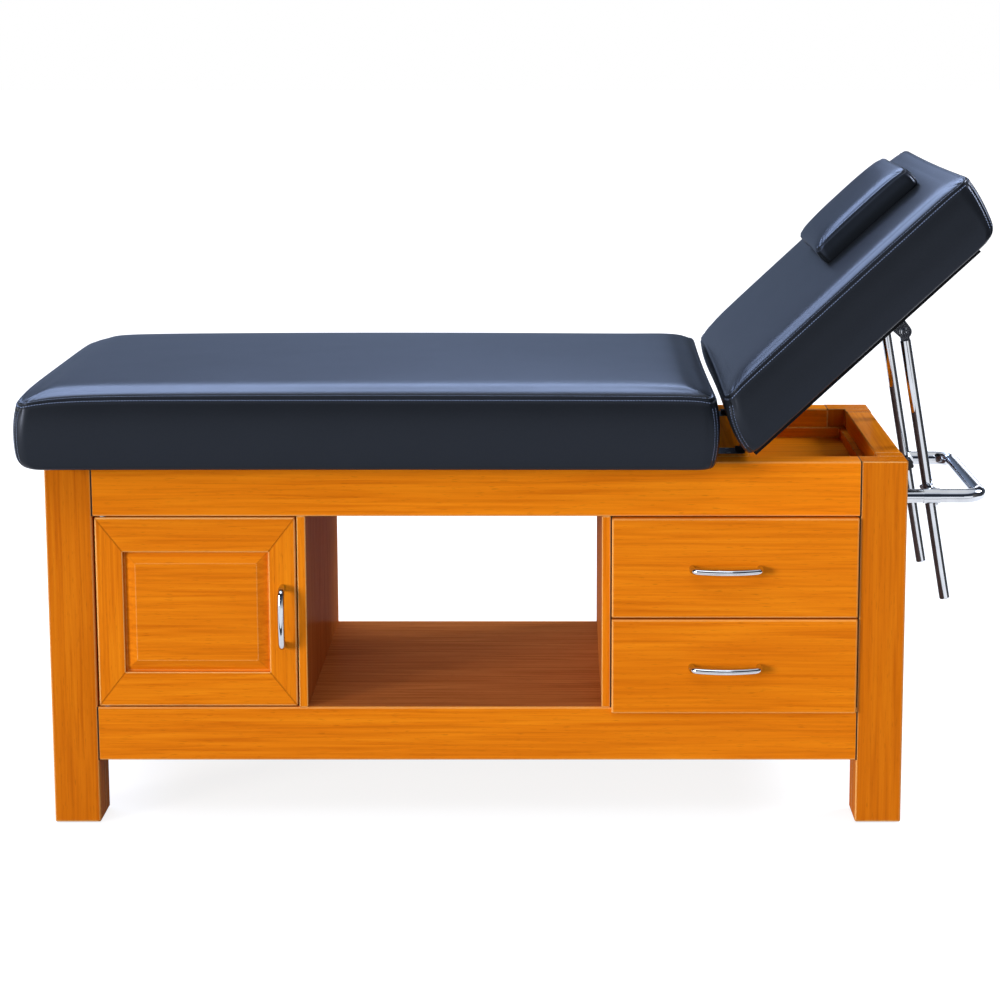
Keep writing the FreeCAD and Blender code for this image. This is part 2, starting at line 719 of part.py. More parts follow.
def crowned_pad(low_ends, seam_ends, half, base, side_height, crown, bulge, radius, draw):
    """A boxed pad: rounded underside, bulging sides, a seam at the top edge and a crowned top."""
    sections = []

    def ends_at(height, outset):
        share = height / side_height
        x0 = low_ends[0] + (seam_ends[0] - low_ends[0]) * share - outset
        x1 = low_ends[1] + (seam_ends[1] - low_ends[1]) * share + outset
        return x0, x1

    round_height = pad_underside_round * side_height / seat_pad_thickness
    levels = [(0, -round_height), (round_height, 0)]
    for height_share, bulge_share in zip(side_height_shares, side_bulge_shares):
        levels.append((side_height * height_share, bulge * bulge_share))
    levels.append((side_height, 0))
    for height, outset in levels:
        x0, x1 = ends_at(height, outset)
        sections.append(pad_outline(x0, x1, half + outset, radius + outset, draw, base + height))
    run = half * crown_run_share
    for rise_share, run_share in zip(crown_rise_shares, crown_run_shares):
        x0, x1 = ends_at(side_height, -run * run_share)
        inset = run * run_share
        sections.append(pad_outline(x0, x1, half - inset, radius, draw, base + side_height + crown * rise_share))
    return Part.makeLoft(sections, True, True)


def build_seat(nodes):
    x0 = -seat_foot_overhang
    x1 = x0 + seat_pad_length
    pad = crowned_pad((x0, x1), (x0, x1), pad_half_width, frame_height, seat_pad_thickness, pad_crown, pad_bulge,
                      pad_corner_radius, pad_draw_in)
    board = block(board_inset, x1 - cross_rail_overlap, -board_half_width, board_half_width,
                  frame_height, frame_height + seat_board_thickness)
    nodes["seat_board"] = board
    nodes["seat_pad"] = pad.cut(board)
    cross_x1 = hinge_from_foot + cross_rail_overlap
    cross_rail = block(cross_x1 - cross_rail_width, cross_x1, -inner_half, inner_half,
                       tray_top + bead_height, frame_height)
    bases, pins = hinge_bases(), hinge_pins()
    screws = hinge_base_screws()
    nodes["cross_rail"] = drilled(cross_rail, bases + screws)
    nodes["hinge_bases"] = drilled_each(bases, pins + screws)
    nodes["hinge_pins"] = pins
    nodes["frame_screws"] = screws + flange_screws()


# Backrest, built flat

def hinge_bases():
    """A plate let into the cross rail, with one lug that carries the pin."""
    x1 = hinge_from_foot - hinge_lug_radius
    plate = block(x1 - hinge_plate_length, x1 + hinge_lug_radius, -hinge_y - hinge_plate_width / 2,
                  -hinge_y + hinge_plate_width / 2, frame_height - hinge_plate_thickness, frame_height)
    y0 = -hinge_y - hinge_lug_width / 2
    y1 = -hinge_y + hinge_lug_width / 2
    lug = rod(hinge_lug_radius, Vector(hinge_from_foot, y0, hinge_height), Vector(hinge_from_foot, y1, hinge_height))
    web = block(x1 - hinge_lug_radius, hinge_from_foot, y0, y1, frame_height - hinge_plate_thickness, hinge_height)
    return front_and_rear(plate.fuse([lug, web]).removeSplitter())


def hinge_base_screws():
    """Two screws through each base plate, in line across the bed."""
    x = hinge_from_foot - hinge_lug_radius - hinge_plate_length / 2
    screws = []
    for y in (-hinge_y - hinge_screw_offset, -hinge_y + hinge_screw_offset):
        screws += front_and_rear(wood_screw(Vector(x, y, frame_height + screw_proud), Vector(0, 0, -1)))
    return screws


def hinge_pins():
    reach = hinge_lug_width / 2 + hinge_side_gap + hinge_ear_width + hinge_side_gap
    y0, y1 = -hinge_y - reach, -hinge_y + reach
    pin = rod(hinge_pin_radius, Vector(hinge_from_foot, y0, hinge_height),
              Vector(hinge_from_foot, y1 + hinge_head_height, hinge_height))
    head = rod(hinge_head_radius, Vector(hinge_from_foot, y0 - hinge_head_height, hinge_height),
               Vector(hinge_from_foot, y0, hinge_height))
    return front_and_rear(pin.fuse(head).removeSplitter())


def hinge_arms():
    """A plate let into the board's underside, with two ears that take the pin."""
    x0 = hinge_from_foot + board_end_from_hinge
    x1 = x0 + hinge_arm_length
    half = hinge_plate_width / 2
    top = board_underside + hinge_plate_thickness
    parts = [block(x0, x1, -hinge_y - half, -hinge_y + half, board_underside, top)]
    holes = []
    inner = hinge_lug_width / 2 + hinge_side_gap
    for y0 in (-hinge_y + inner, -hinge_y - inner - hinge_ear_width):
        y1 = y0 + hinge_ear_width
        start, end = Vector(hinge_from_foot, y0, hinge_height), Vector(hinge_from_foot, y1, hinge_height)
        parts.append(rod(hinge_ear_radius, start, end))
        parts.append(block(hinge_from_foot, x0 + hinge_ear_width, y0, y1, hinge_height - hinge_ear_radius,
                           hinge_height + hinge_ear_radius / 2))
        holes.append(rod(hinge_pin_radius + running_clearance, start, end))
    arm = parts[0].fuse(parts[1:]).removeSplitter()
    return front_and_rear(drilled(arm, holes))


def hinge_arm_screws():
    x = hinge_from_foot + board_end_from_hinge + hinge_arm_length / 2
    screws = []
    for y in (-hinge_y - hinge_screw_offset, -hinge_y + hinge_screw_offset):
        head = Vector(x, y, board_underside)
        screws += front_and_rear(wood_screw(head, Vector(0, 0, 1)).common(board_space()))
    return screws


def board_space():
    """The room of the backrest board and its hinge, so that no screw comes out of its top."""
    return block(hinge_from_foot, frame_length * 2, -half_width, half_width, board_underside - clevis_sheet,
                 backrest_base - tip_clearance)


def clevis_brackets():
    """A plate under the backrest board with two rounded ears for the eye of a prop."""
    top = board_underside
    half_length = clevis_plate_length / 2
    half_plate = clevis_plate_width / 2
    parts = [block(clevis_x_flat - half_length, clevis_x_flat + half_length, -prop_y - half_plate,
                   -prop_y + half_plate, top - clevis_sheet, top)]
    holes = []
    inner = prop_eye_thickness / 2 + clevis_gap
    for y0 in (-prop_y + inner, -prop_y - inner - clevis_sheet):
        centre = Vector(clevis_x_flat, y0, clevis_height_flat)
        far = centre + Vector(0, clevis_sheet, 0)
        parts.append(ear_plate(centre, top - clevis_sheet))
        holes.append(rod(clevis_bolt_radius, centre, far))
    bracket = parts[0].fuse(parts[1:]).removeSplitter()
    return front_and_rear(drilled(bracket, holes))


def ear_plate(centre, top):
    """An ear that narrows from its foot at the plate to a round end about the bolt."""
    half_foot = clevis_ear_foot / 2
    drop = top - centre.z
    distance = math.hypot(half_foot, drop)
    turn = math.acos(clevis_ear_radius / distance)
    facing = math.atan2(drop, half_foot)
    contact = facing - turn
    dx = clevis_ear_radius * math.cos(contact)
    dz = clevis_ear_radius * math.sin(contact)
    right_touch = centre + Vector(dx, 0, dz)
    left_touch = centre + Vector(-dx, 0, dz)
    lowest = centre + Vector(0, 0, -clevis_ear_radius)
    foot_right = Vector(centre.x + half_foot, centre.y, top)
    foot_left = Vector(centre.x - half_foot, centre.y, top)
    outline = Part.Wire([Part.LineSegment(foot_left, foot_right).toShape(),
                         Part.LineSegment(foot_right, right_touch).toShape(),
                         Part.Arc(right_touch, lowest, left_touch).toShape(),
                         Part.LineSegment(left_touch, foot_left).toShape()])
    return Part.Face(outline).extrude(Vector(0, clevis_sheet, 0))


def clevis_bolts():
    """A socket head bolt with a washer each side, and a nut, through each bracket and prop eye."""
    bolts = []
    outer = prop_eye_thickness / 2 + clevis_gap + clevis_sheet
    y_head = -prop_y - outer - clevis_washer_thickness
    y_nut = -prop_y + outer + clevis_washer_thickness
    x, z = clevis_x_flat, clevis_height_flat
    shank = rod(clevis_bolt_radius, Vector(x, y_head, z), Vector(x, y_nut + clevis_head_height, z))
    washer_a = rod(clevis_washer_radius, Vector(x, y_head, z), Vector(x, y_head + clevis_washer_thickness, z))
    washer_b = rod(clevis_washer_radius, Vector(x, y_nut - clevis_washer_thickness, z), Vector(x, y_nut, z))
    head = rod(clevis_head_radius, Vector(x, y_head - clevis_head_height, z), Vector(x, y_head, z))
    socket = rod(clevis_socket_radius, Vector(x, y_head - clevis_head_height - overrun, z),
                 Vector(x, y_head - clevis_head_height + clevis_socket_depth, z))
    nut = rod(clevis_head_radius, Vector(x, y_nut, z), Vector(x, y_nut + clevis_head_height, z))
    bolt = shank.fuse([washer_a, washer_b, head, nut]).removeSplitter().cut(socket)
    bolts += front_and_rear(bolt)
    return bolts


def clevis_screws():
    screws = []
    inset = clevis_plate_length / 2 - screw_head_radius * 2
    for x in (clevis_x_flat - inset, clevis_x_flat + inset):
        head = Vector(x, -prop_y, board_underside - clevis_sheet)
        screws += front_and_rear(wood_screw(head, Vector(0, 0, 1)).common(board_space()))
    return screws


def build_backrest(nodes):
    low_x0 = hinge_from_foot + pad_end_from_hinge
    seam_x0 = low_x0 + backrest_low_bevel
    seam_x1 = seam_x0 + backrest_seam_length
    low_x1 = seam_x1 - backrest_top_bevel
    pad = crowned_pad((low_x0, low_x1), (seam_x0, seam_x1), pad_half_width, backrest_base, backrest_pad_thickness,
                      pad_crown, pad_bulge, pad_corner_radius, pad_draw_in)
    board = block(hinge_from_foot + board_end_from_hinge, low_x1 - backrest_board_inset, -board_half_width,
                  board_half_width, board_underside, backrest_base)
    arms, arm_screws = hinge_arms(), hinge_arm_screws()
    brackets, bracket_screws = clevis_brackets(), clevis_screws()
    screws = arm_screws + bracket_screws
    nodes["backrest_board"] = tilted(drilled(board, arms + screws))
    nodes["backrest_pad"] = tilted(pad)
    nodes["hinge_arms"] = [tilted(arm) for arm in drilled_each(arms, arm_screws)]
    nodes["clevis_brackets"] = [tilted(bracket) for bracket in drilled_each(brackets, bracket_screws)]
    nodes["clevis_bolts"] = [tilted(bolt) for bolt in clevis_bolts()]
    nodes["backrest_screws"] = [tilted(screw) for screw in screws]

    pillow_x1 = seam_x1 - pillow_from_top
    pillow_x0 = pillow_x1 - pillow_length
    pillow_base = backrest_base + backrest_pad_thickness + pad_crown + soft_gap
    pillow = crowned_pad((pillow_x0, pillow_x1), (pillow_x0, pillow_x1), pillow_width / 2, pillow_base,
                         pillow_side_height, pillow_crown, pillow_bulge, pillow_corner_radius, pillow_draw_in)
    nodes["head_pillow"] = tilted(pillow)


# Props, bar and swivels

def prop():
    """A tube with a flat eye on a neck in its upper end, hanging straight down from the origin."""
    tube_top = Vector(0, 0, -prop_neck_length)
    tube_end = Vector(0, 0, -prop_length + prop_plug_height)
    tube = rod(prop_radius, tube_end, tube_top)
    bore = rod(prop_radius - prop_wall, tube_end - Vector(0, 0, overrun), tube_top - Vector(0, 0, prop_plug_depth))
    half = prop_eye_thickness / 2
    eye = rod(prop_eye_radius, Vector(0, -half, 0), Vector(0, half, 0))
    neck = block(-prop_neck_radius, prop_neck_radius, -half, half, -prop_neck_length, 0)
    hole = rod(clevis_bolt_radius + running_clearance, Vector(0, -half, 0), Vector(0, half, 0))
    return tube.fuse([eye, neck]).removeSplitter().cut(bore).cut(hole)


def prop_plug():
    """A plug in the lower end of the tube, with a domed cap as wide as the tube."""
    end = Vector(0, 0, -prop_length + prop_plug_height)
    spigot = rod(prop_radius - prop_wall, end, end + Vector(0, 0, prop_plug_depth))
    cap = rod(prop_radius, end - Vector(0, 0, prop_plug_height), end)
    low_edge = [e for e in cap.Edges if e.BoundBox.ZMax < end.z - prop_plug_height + tip_clearance]
    cap = cap.makeFillet(prop_plug_height * cap_round_share, low_edge)
    return spigot.fuse(cap).removeSplitter()


def support_bar():
    """A U of round tube lying flat, its two arms let into the head end rail."""
    start_x = frame_length - bar_socket_depth
    end_x = frame_length + bar_reach
    z = bar_height
    r = bar_bend_radius
    slant = r * math.sqrt(2) / 2
    bend_x, bend_y = end_x - r, arm_y - r
    edges = [Part.LineSegment(Vector(start_x, -arm_y, z), Vector(bend_x, -arm_y, z)).toShape(),
             Part.Arc(Vector(bend_x, -arm_y, z), Vector(bend_x + slant, -bend_y - slant, z),
                      Vector(end_x, -bend_y, z)).toShape(),
             Part.LineSegment(Vector(end_x, -bend_y, z), Vector(end_x, bend_y, z)).toShape(),
             Part.Arc(Vector(end_x, bend_y, z), Vector(bend_x + slant, bend_y + slant, z),
                      Vector(bend_x, arm_y, z)).toShape(),
             Part.LineSegment(Vector(bend_x, arm_y, z), Vector(start_x, arm_y, z)).toShape()]
    path = Part.Wire(edges)
    solids = []
    for radius in (bar_radius, bar_radius - bar_wall):
        ring = Part.Wire(Part.Circle(Vector(start_x, -arm_y, z), Vector(1, 0, 0), radius).toShape())
        solids.append(path.makePipeShell([ring], True, False))
    return solids[0].cut(solids[1])


def flange_screws():
    """Three screws round each arm of the bar, through its flange into the head end rail."""
    screws = []
    for turn_deg in flange_screw_turns_deg:
        turn = math.radians(turn_deg)
        y = -arm_y + flange_screw_circle * math.cos(turn)
        z = bar_height + flange_screw_circle * math.sin(turn)
        screws += front_and_rear(wood_screw(Vector(frame_length + flange_thickness, y, z), Vector(-1, 0, 0)))
    return screws


def bar_flanges():
    ring = rod(flange_radius, Vector(frame_length, -arm_y, bar_height),
               Vector(frame_length + flange_thickness, -arm_y, bar_height))
    hole = rod(bar_radius, Vector(frame_length - overrun, -arm_y, bar_height),
               Vector(frame_length + flange_thickness + overrun, -arm_y, bar_height))
    return drilled_each(front_and_rear(ring.cut(hole)), flange_screws())


def bar_sleeves():
    """A sleeve on each arm of the bar, with a stub axle on its inner side for the swivel."""
    start = Vector(swivel_x - sleeve_length / 2, -arm_y, bar_height)
    end = Vector(swivel_x + sleeve_length / 2, -arm_y, bar_height)
    ring = rod(sleeve_radius, start, end)
    axle_end = -arm_y + sleeve_radius + swivel_gap + sleeve_axle_reach
    axle = rod(sleeve_axle_radius, Vector(swivel_x, -arm_y, bar_height), Vector(swivel_x, axle_end, bar_height))
    hole = rod(bar_radius, start - Vector(overrun, 0, 0), end + Vector(overrun, 0, 0))
    screw_hole = sleeve_screw_shank()
    return front_and_rear(ring.fuse(axle).removeSplitter().cut(hole).cut(screw_hole))


def sleeve_screw_shank():
    x = swivel_x + sleeve_screw_offset
    return rod(screw_shank_radius, Vector(x, -arm_y, bar_height - sleeve_radius),
               Vector(x, -arm_y, bar_height - bar_radius))


def sleeve_screws():
    """A small domed cap screw under each sleeve."""
    x = swivel_x + sleeve_screw_offset
    seat = bar_height - sleeve_radius
    top = Vector(x, -arm_y, seat + sleeve_wall / 2)
    head = rod(sleeve_screw_radius, Vector(x, -arm_y, seat - sleeve_screw_dome), top)
    low_edge = [e for e in head.Edges if e.BoundBox.ZMax < seat - sleeve_screw_dome + tip_clearance]
    head = head.makeFillet(sleeve_screw_dome * cap_round_share, low_edge)
    sleeve = rod(sleeve_radius, Vector(x - sleeve_length, -arm_y, bar_height),
                 Vector(x + sleeve_length, -arm_y, bar_height))
    return front_and_rear(head.cut(sleeve).fuse(sleeve_screw_shank()).removeSplitter())


def swivel_block():
    """A block that turns on the stub axle and lets the prop slide through it."""
    half_w = swivel_width / 2
    body = block(-swivel_height / 2, swivel_height / 2, -half_w, half_w, -swivel_length / 2, swivel_length / 2)
    body = eased(body, swivel_round, Vector(0, 1, 0))
    bore = rod(prop_radius + running_clearance, Vector(0, 0, -swivel_length), Vector(0, 0, swivel_length))
    axle_hole = rod(sleeve_axle_radius + running_clearance, Vector(0, -half_w - overrun, 0),
                    Vector(0, -half_w + sleeve_axle_reach + tip_clearance, 0))
    screw_hole = rod(knob_stem_radius + running_clearance, Vector(0, 0, 0), Vector(0, half_w + overrun, 0))
    return drilled(body, [bore, axle_hole, screw_hole])


def lock_knob():
    """A fluted knob whose screw clamps the prop in the swivel, standing off along +Y from the prop."""
    y0 = swivel_width / 2 + knob_gap
    grip = rod(knob_radius, Vector(0, y0, 0), Vector(0, y0 + knob_length, 0))
    flutes = []
    for index in range(knob_flutes):
        turn = 2 * math.pi * index / knob_flutes
        centre = Vector(knob_radius * math.cos(turn), 0, knob_radius * math.sin(turn))
        centre = centre * (1 + knob_flute_radius / (2 * knob_radius))
        flutes.append(rod(knob_flute_radius, centre, centre + Vector(0, y0 + knob_length + overrun, 0)))
    stem = rod(knob_stem_radius, Vector(0, prop_radius + tip_clearance, 0), Vector(0, y0, 0))
    return drilled(grip, flutes).fuse(stem).removeSplitter()


def build_props(nodes):
    nodes["support_bar"] = support_bar()
    nodes["bar_flanges"] = bar_flanges()
    nodes["bar_sleeves"] = bar_sleeves()
    nodes["sleeve_screws"] = sleeve_screws()
    eye = Vector(clevis_x, -prop_y, clevis_z)
    hub = Vector(swivel_x, -prop_y, bar_height)
    tubes = front_and_rear(leaned(prop(), eye))
    plugs = front_and_rear(leaned(prop_plug(), eye))
    nodes["prop_front"], nodes["prop_rear"] = [list(pair) for pair in zip(tubes, plugs)]
    for name, solid in (("swivel_block", swivel_block()), ("lock_knob", lock_knob())):
        nodes[name + "_front"], nodes[name + "_rear"] = front_and_rear(leaned(solid, hub))


def build():
    nodes = {}
    build_frame(nodes)
    build_cabinet(nodes)
    build_door(nodes)
    build_drawers(nodes)
    build_seat(nodes)
    build_backrest(nodes)
    build_props(nodes)
    return nodes


def export(nodes):
    os.makedirs("parts", exist_ok=True)
    for name, shape in nodes.items():
        solids = shape if isinstance(shape, list) else [shape]
        whole = Part.makeCompound(solids) if len(solids) > 1 else solids[0]
        whole = whole.copy()
        whole.translate(Vector(-origin_x, 0, 0))
        whole.exportStep("parts/" + name + ".step")
    print(len(nodes), "nodes")


nodes = build()
export(nodes)
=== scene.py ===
import math

import bpy
import numpy as np
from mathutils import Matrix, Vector


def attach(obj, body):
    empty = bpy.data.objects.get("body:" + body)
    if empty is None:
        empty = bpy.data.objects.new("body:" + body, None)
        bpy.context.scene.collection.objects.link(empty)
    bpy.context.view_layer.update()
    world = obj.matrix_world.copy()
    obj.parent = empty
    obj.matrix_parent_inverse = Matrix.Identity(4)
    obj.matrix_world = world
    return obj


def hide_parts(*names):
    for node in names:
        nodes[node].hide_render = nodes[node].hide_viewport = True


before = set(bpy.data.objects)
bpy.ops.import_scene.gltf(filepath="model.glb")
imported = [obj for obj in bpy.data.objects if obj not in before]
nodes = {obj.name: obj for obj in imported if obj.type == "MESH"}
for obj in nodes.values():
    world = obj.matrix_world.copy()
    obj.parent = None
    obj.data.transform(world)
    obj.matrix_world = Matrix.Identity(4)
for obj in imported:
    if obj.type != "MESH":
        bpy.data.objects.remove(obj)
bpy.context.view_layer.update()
scene = bpy.context.scene
print("frame loaded:", len(nodes), "nodes")


def linearColor(hexColor):
    # sRGB hex to the linear values that the shader sockets take
    channels = [int(hexColor[i:i + 2], 16) / 255 for i in (1, 3, 5)]
    return [c / 12.92 if c <= 0.04045 else ((c + 0.055) / 1.055) ** 2.4 for c in channels] + [1.0]


def addNode(tree, kind, inputs=None, stops=None, **settings):
    # one node with its settings; an input is a value or another node's output, stops are a ramp's colours
    node = tree.nodes.new("ShaderNode" + kind)
    for name, value in settings.items():
        setattr(node, name, value)
    for name, value in (inputs or {}).items():
        if isinstance(value, bpy.types.NodeSocket):
            tree.links.new(value, node.inputs[name])
        else:
            node.inputs[name].default_value = value
    if stops:
        band = node.color_ramp.elements
        band.remove(band[1])
        band[0].position, band[0].color = stops[0][0], linearColor(stops[0][1])
        for position, color in stops[1:]:
            band.new(position).color = linearColor(color)
    return node


def newMaterial(name):
    # an empty material whose Principled shader is joined to the output
    material = bpy.data.materials.new(name)
    material.use_nodes = True
    tree = material.node_tree
    tree.nodes.clear()
    shader = addNode(tree, "BsdfPrincipled")
    addNode(tree, "OutputMaterial", {"Surface": shader.outputs["BSDF"]})
    return material, tree, shader


# Noise layers of a board: length along the grain, width across it in mm, detail and wander. Beech fibres
# are finer than a pixel, so the finest layer is drawn about three times as wide as the real vessels.
grainLayers = {"cloud": (800, 90, 2.0, 0.8), "streak": (260, 7, 4.0, 0.5), "fibre": (120, 2.4, 3.0, 0.2),
               "fleck": (22, 1.6, 1.0, 0.0)}
grainRoughness = 0.55
# Between which strengths a layer pulls the colour, by how much, and towards which of the wood's colours
layerPulls = {"cloud": (0.4, 0.65, 0.3, "dark"), "fibre": (0.45, 0.75, 0.25, "dark"),
              "fleck": (0.64, 0.74, 0.4, "pore")}
# Edges, painted pale as a highlight: the radius in metres over which the normal is averaged, the cosines
# between which it has turned away from the face's own, and the lean along two axes at once between which a
# mitre grows dark
boardEdge = {"radius": 0.0034, "turned": (0.93, 0.995), "lean": (0.03, 0.12)}
# How far the fibres take the roughness down and up, and their relief's depth in metres and strength
boardGloss = {"down": 0.04, "up": 0.06, "depth": 0.00005, "relief": 0.4, "coatRough": 0.22}

# Boards: each is planed timber or foil, so its colour runs in streaks along the grain under a thin finish
woods = {
    # solid beech, stained honey under satin lacquer; its pale edges are a painted highlight, with some wear
    # of the lacquer
    "lacqueredBeech": {"dark": "#cf6c0c", "middle": "#e17c10", "light": "#ec8b16", "pore": "#a95608",
                       "edge": "#ffd688", "wearAndHighlight": 0.95, "rough": 0.34, "specular": 0.0, "coat": 0.06},
    # the same lacquer on the legs, painted darker: painted shade that stands in for the shade they get under
    # the pad
    "legBeechShaded": {"dark": "#bd600a", "middle": "#d0700e", "light": "#db7c13", "pore": "#9a4e07",
                 "edge": "#ffd688", "wearAndHighlight": 0.95, "rough": 0.34, "specular": 0.0, "coat": 0.06},
    # the same lacquer on the top rails, painted paler: painted light that lifts the shade the pad casts on
    # them
    "railBeechLit": {"dark": "#db730c", "middle": "#ee8511", "light": "#f99418", "pore": "#b25c09",
                  "edge": "#ffd688", "wearAndHighlight": 0.95, "rough": 0.34, "specular": 0.0, "coat": 0.06},
    # board faced with walnut-brown foil, smooth and slightly glossy
    "brownBoard": {"dark": "#94501f", "middle": "#ab602b", "light": "#bb7035", "pore": "#733a17",
                   "edge": "#a35a26", "wearAndHighlight": 0.0, "rough": 0.4, "specular": 0.0, "coat": 0.03},
    # birch plywood of the drawer boxes, waxed: pale cream with a dull sheen
    "waxedBirch": {"dark": "#b99a6c", "middle": "#cdae80", "light": "#dcc197", "pore": "#a5854f",
                   "edge": "#e5cfa8", "wearAndHighlight": 0.4, "rough": 0.5, "specular": 0.2, "coat": 0.0},
    # raw plywood under the seat: dull, sandy brown, with open pores
    "rawPlywood": {"dark": "#8a6a42", "middle": "#a58458", "light": "#bb9a6c", "pore": "#75542f",
                   "edge": "#bb9a6c", "wearAndHighlight": 0.2, "rough": 0.62, "specular": 0.2, "coat": 0.0},
    # plywood stained black, so that nothing pale shows below the backrest
    "blackPlywood": {"dark": "#121315", "middle": "#17181b", "light": "#1d1f22", "pore": "#0b0b0d",
                     "edge": "#26282c", "wearAndHighlight": 0.3, "rough": 0.6, "specular": 0.1, "coat": 0.0},
}


def woodMaterial(finish, along, turn=(0, 0, 0)):
    # Noise stretched along the grain: streaks choose the colour on a ramp, clouds, fibres and flecks mix it
    # towards a darker one, and the fibres change the gloss and stand up a little.
    look = woods[finish]
    material, tree, shader = newMaterial(finish + along)
    place = addNode(tree, "TexCoord")
    turned = addNode(tree, "Mapping", {"Vector": place.outputs["Object"], "Rotation": turn})
    layer = {}
    for name, (length, width, detail, wander) in grainLayers.items():
        scale = [1000 / (length if axis == along else width) for axis in "XYZ"]
        spot = addNode(tree, "Mapping", {"Vector": turned.outputs["Vector"], "Scale": scale})
        noise = addNode(tree, "TexNoise", {"Vector": spot.outputs["Vector"], "Scale": 1.0, "Detail": detail,
                                           "Roughness": grainRoughness, "Distortion": wander})
        layer[name] = noise.outputs["Fac"]
    tone = addNode(tree, "MapRange", {"Value": layer["streak"], "From Min": 0.3, "From Max": 0.7})
    board = addNode(tree, "ValToRGB", {"Fac": tone.outputs["Result"]},
                    stops=[(0.0, look["dark"]), (0.45, look["middle"]), (1.0, look["light"])])
    color = board.outputs["Color"]
    for name, (low, high, share, toward) in layerPulls.items():
        pull = addNode(tree, "MapRange", {"Value": layer[name], "From Min": low, "From Max": high,
                                          "To Min": 0.0, "To Max": share})
        color = addNode(tree, "Mix", {0: pull.outputs["Result"], 6: color, 7: linearColor(look[toward])},
                        data_type="RGBA").outputs[2]
    # painted highlight, with some wear of the lacquer: an edge is pale where the averaged normal turns away
    # from the face's own
    rounded = addNode(tree, "Bevel", {"Radius": boardEdge["radius"]}, samples=4)
    facing = addNode(tree, "NewGeometry")
    normals = {0: rounded.outputs["Normal"], 1: facing.outputs["True Normal"]}
    same = addNode(tree, "VectorMath", normals, operation="DOT_PRODUCT")
    wearAndHighlight = addNode(tree, "MapRange", {"Value": same.outputs["Value"], "From Min": boardEdge["turned"][0],
                                      "From Max": boardEdge["turned"][1], "To Min": look["wearAndHighlight"],
                                      "To Max": 0.0})
    # at a mitre the averaged normal leans along two axes at once, and there the joint shows as a dark line
    lean = addNode(tree, "VectorMath", normals, operation="SUBTRACT")
    size = addNode(tree, "VectorMath", {0: lean.outputs["Vector"]}, operation="ABSOLUTE")
    axes = addNode(tree, "SeparateXYZ", {"Vector": size.outputs["Vector"]})
    least = addNode(tree, "Math", {0: axes.outputs["X"], 1: axes.outputs["Z"]}, operation="MINIMUM")
    mitre = addNode(tree, "MapRange", {"Value": least.outputs[0], "From Min": boardEdge["lean"][0],
                                       "From Max": boardEdge["lean"][1]})
    edge = addNode(tree, "Mix", {0: mitre.outputs["Result"], 6: linearColor(look["edge"]),
                                 7: linearColor(look["pore"])}, data_type="RGBA")
    # the pale edge colour is the painted highlight, laid over the board's own colour
    edged = addNode(tree, "Mix", {0: wearAndHighlight.outputs["Result"], 6: color, 7: edge.outputs[2]}, data_type="RGBA")
    gloss = addNode(tree, "MapRange", {"Value": layer["fibre"], "From Min": 0.3, "From Max": 0.7,
                                       "To Min": look["rough"] - boardGloss["down"],
                                       "To Max": look["rough"] + boardGloss["up"]})
    relief = addNode(tree, "Bump", {"Height": layer["fibre"], "Distance": boardGloss["depth"],
                                    "Strength": boardGloss["relief"], "Normal": rounded.outputs["Normal"]})
    tree.links.new(edged.outputs[2], shader.inputs["Base Color"])
    tree.links.new(gloss.outputs["Result"], shader.inputs["Roughness"])
    tree.links.new(relief.outputs["Normal"], shader.inputs["Normal"])
    shader.inputs["Specular IOR Level"].default_value = look["specular"]
    shader.inputs["Coat Weight"].default_value = look["coat"]
    shader.inputs["Coat Roughness"].default_value = boardGloss["coatRough"]
    return material


# Covers: PVC-coated knit, embossed with a leather grain and polished by use, which gives a dark slate with
# broad, soft and bluish highlights
vinyls = {
    "slateVinyl": {"base": "#181b1f", "wearAndHighlight": "#1c1f24", "valley": "#0c0e11", "rough": 0.3, "level": 0.26,
                   "tint": "#c4d2f2"},
    "pillowVinyl": {"base": "#16191d", "wearAndHighlight": "#1a1e23", "valley": "#0b0d10", "rough": 0.3, "level": 0.28,
                    "tint": "#b4c8f5"},
}
# Sizes in mm of the polished patches, the creases and the grain's pebbles. The grain keeps its real size: it
# is finer than a pixel, and only breaks up the gloss. A valley or a dome ends at a distance from the pebble's
# border, as a share of its size, and has a strength. The relief's depth is in metres.
vinylGrain = {"patch": 170, "crease": 8, "pebble": 1.5, "valley": (0.12, 0.35), "dome": (0.3, 0.6),
              "down": 0.03, "up": 0.04, "depth": 0.00008, "relief": 0.3}


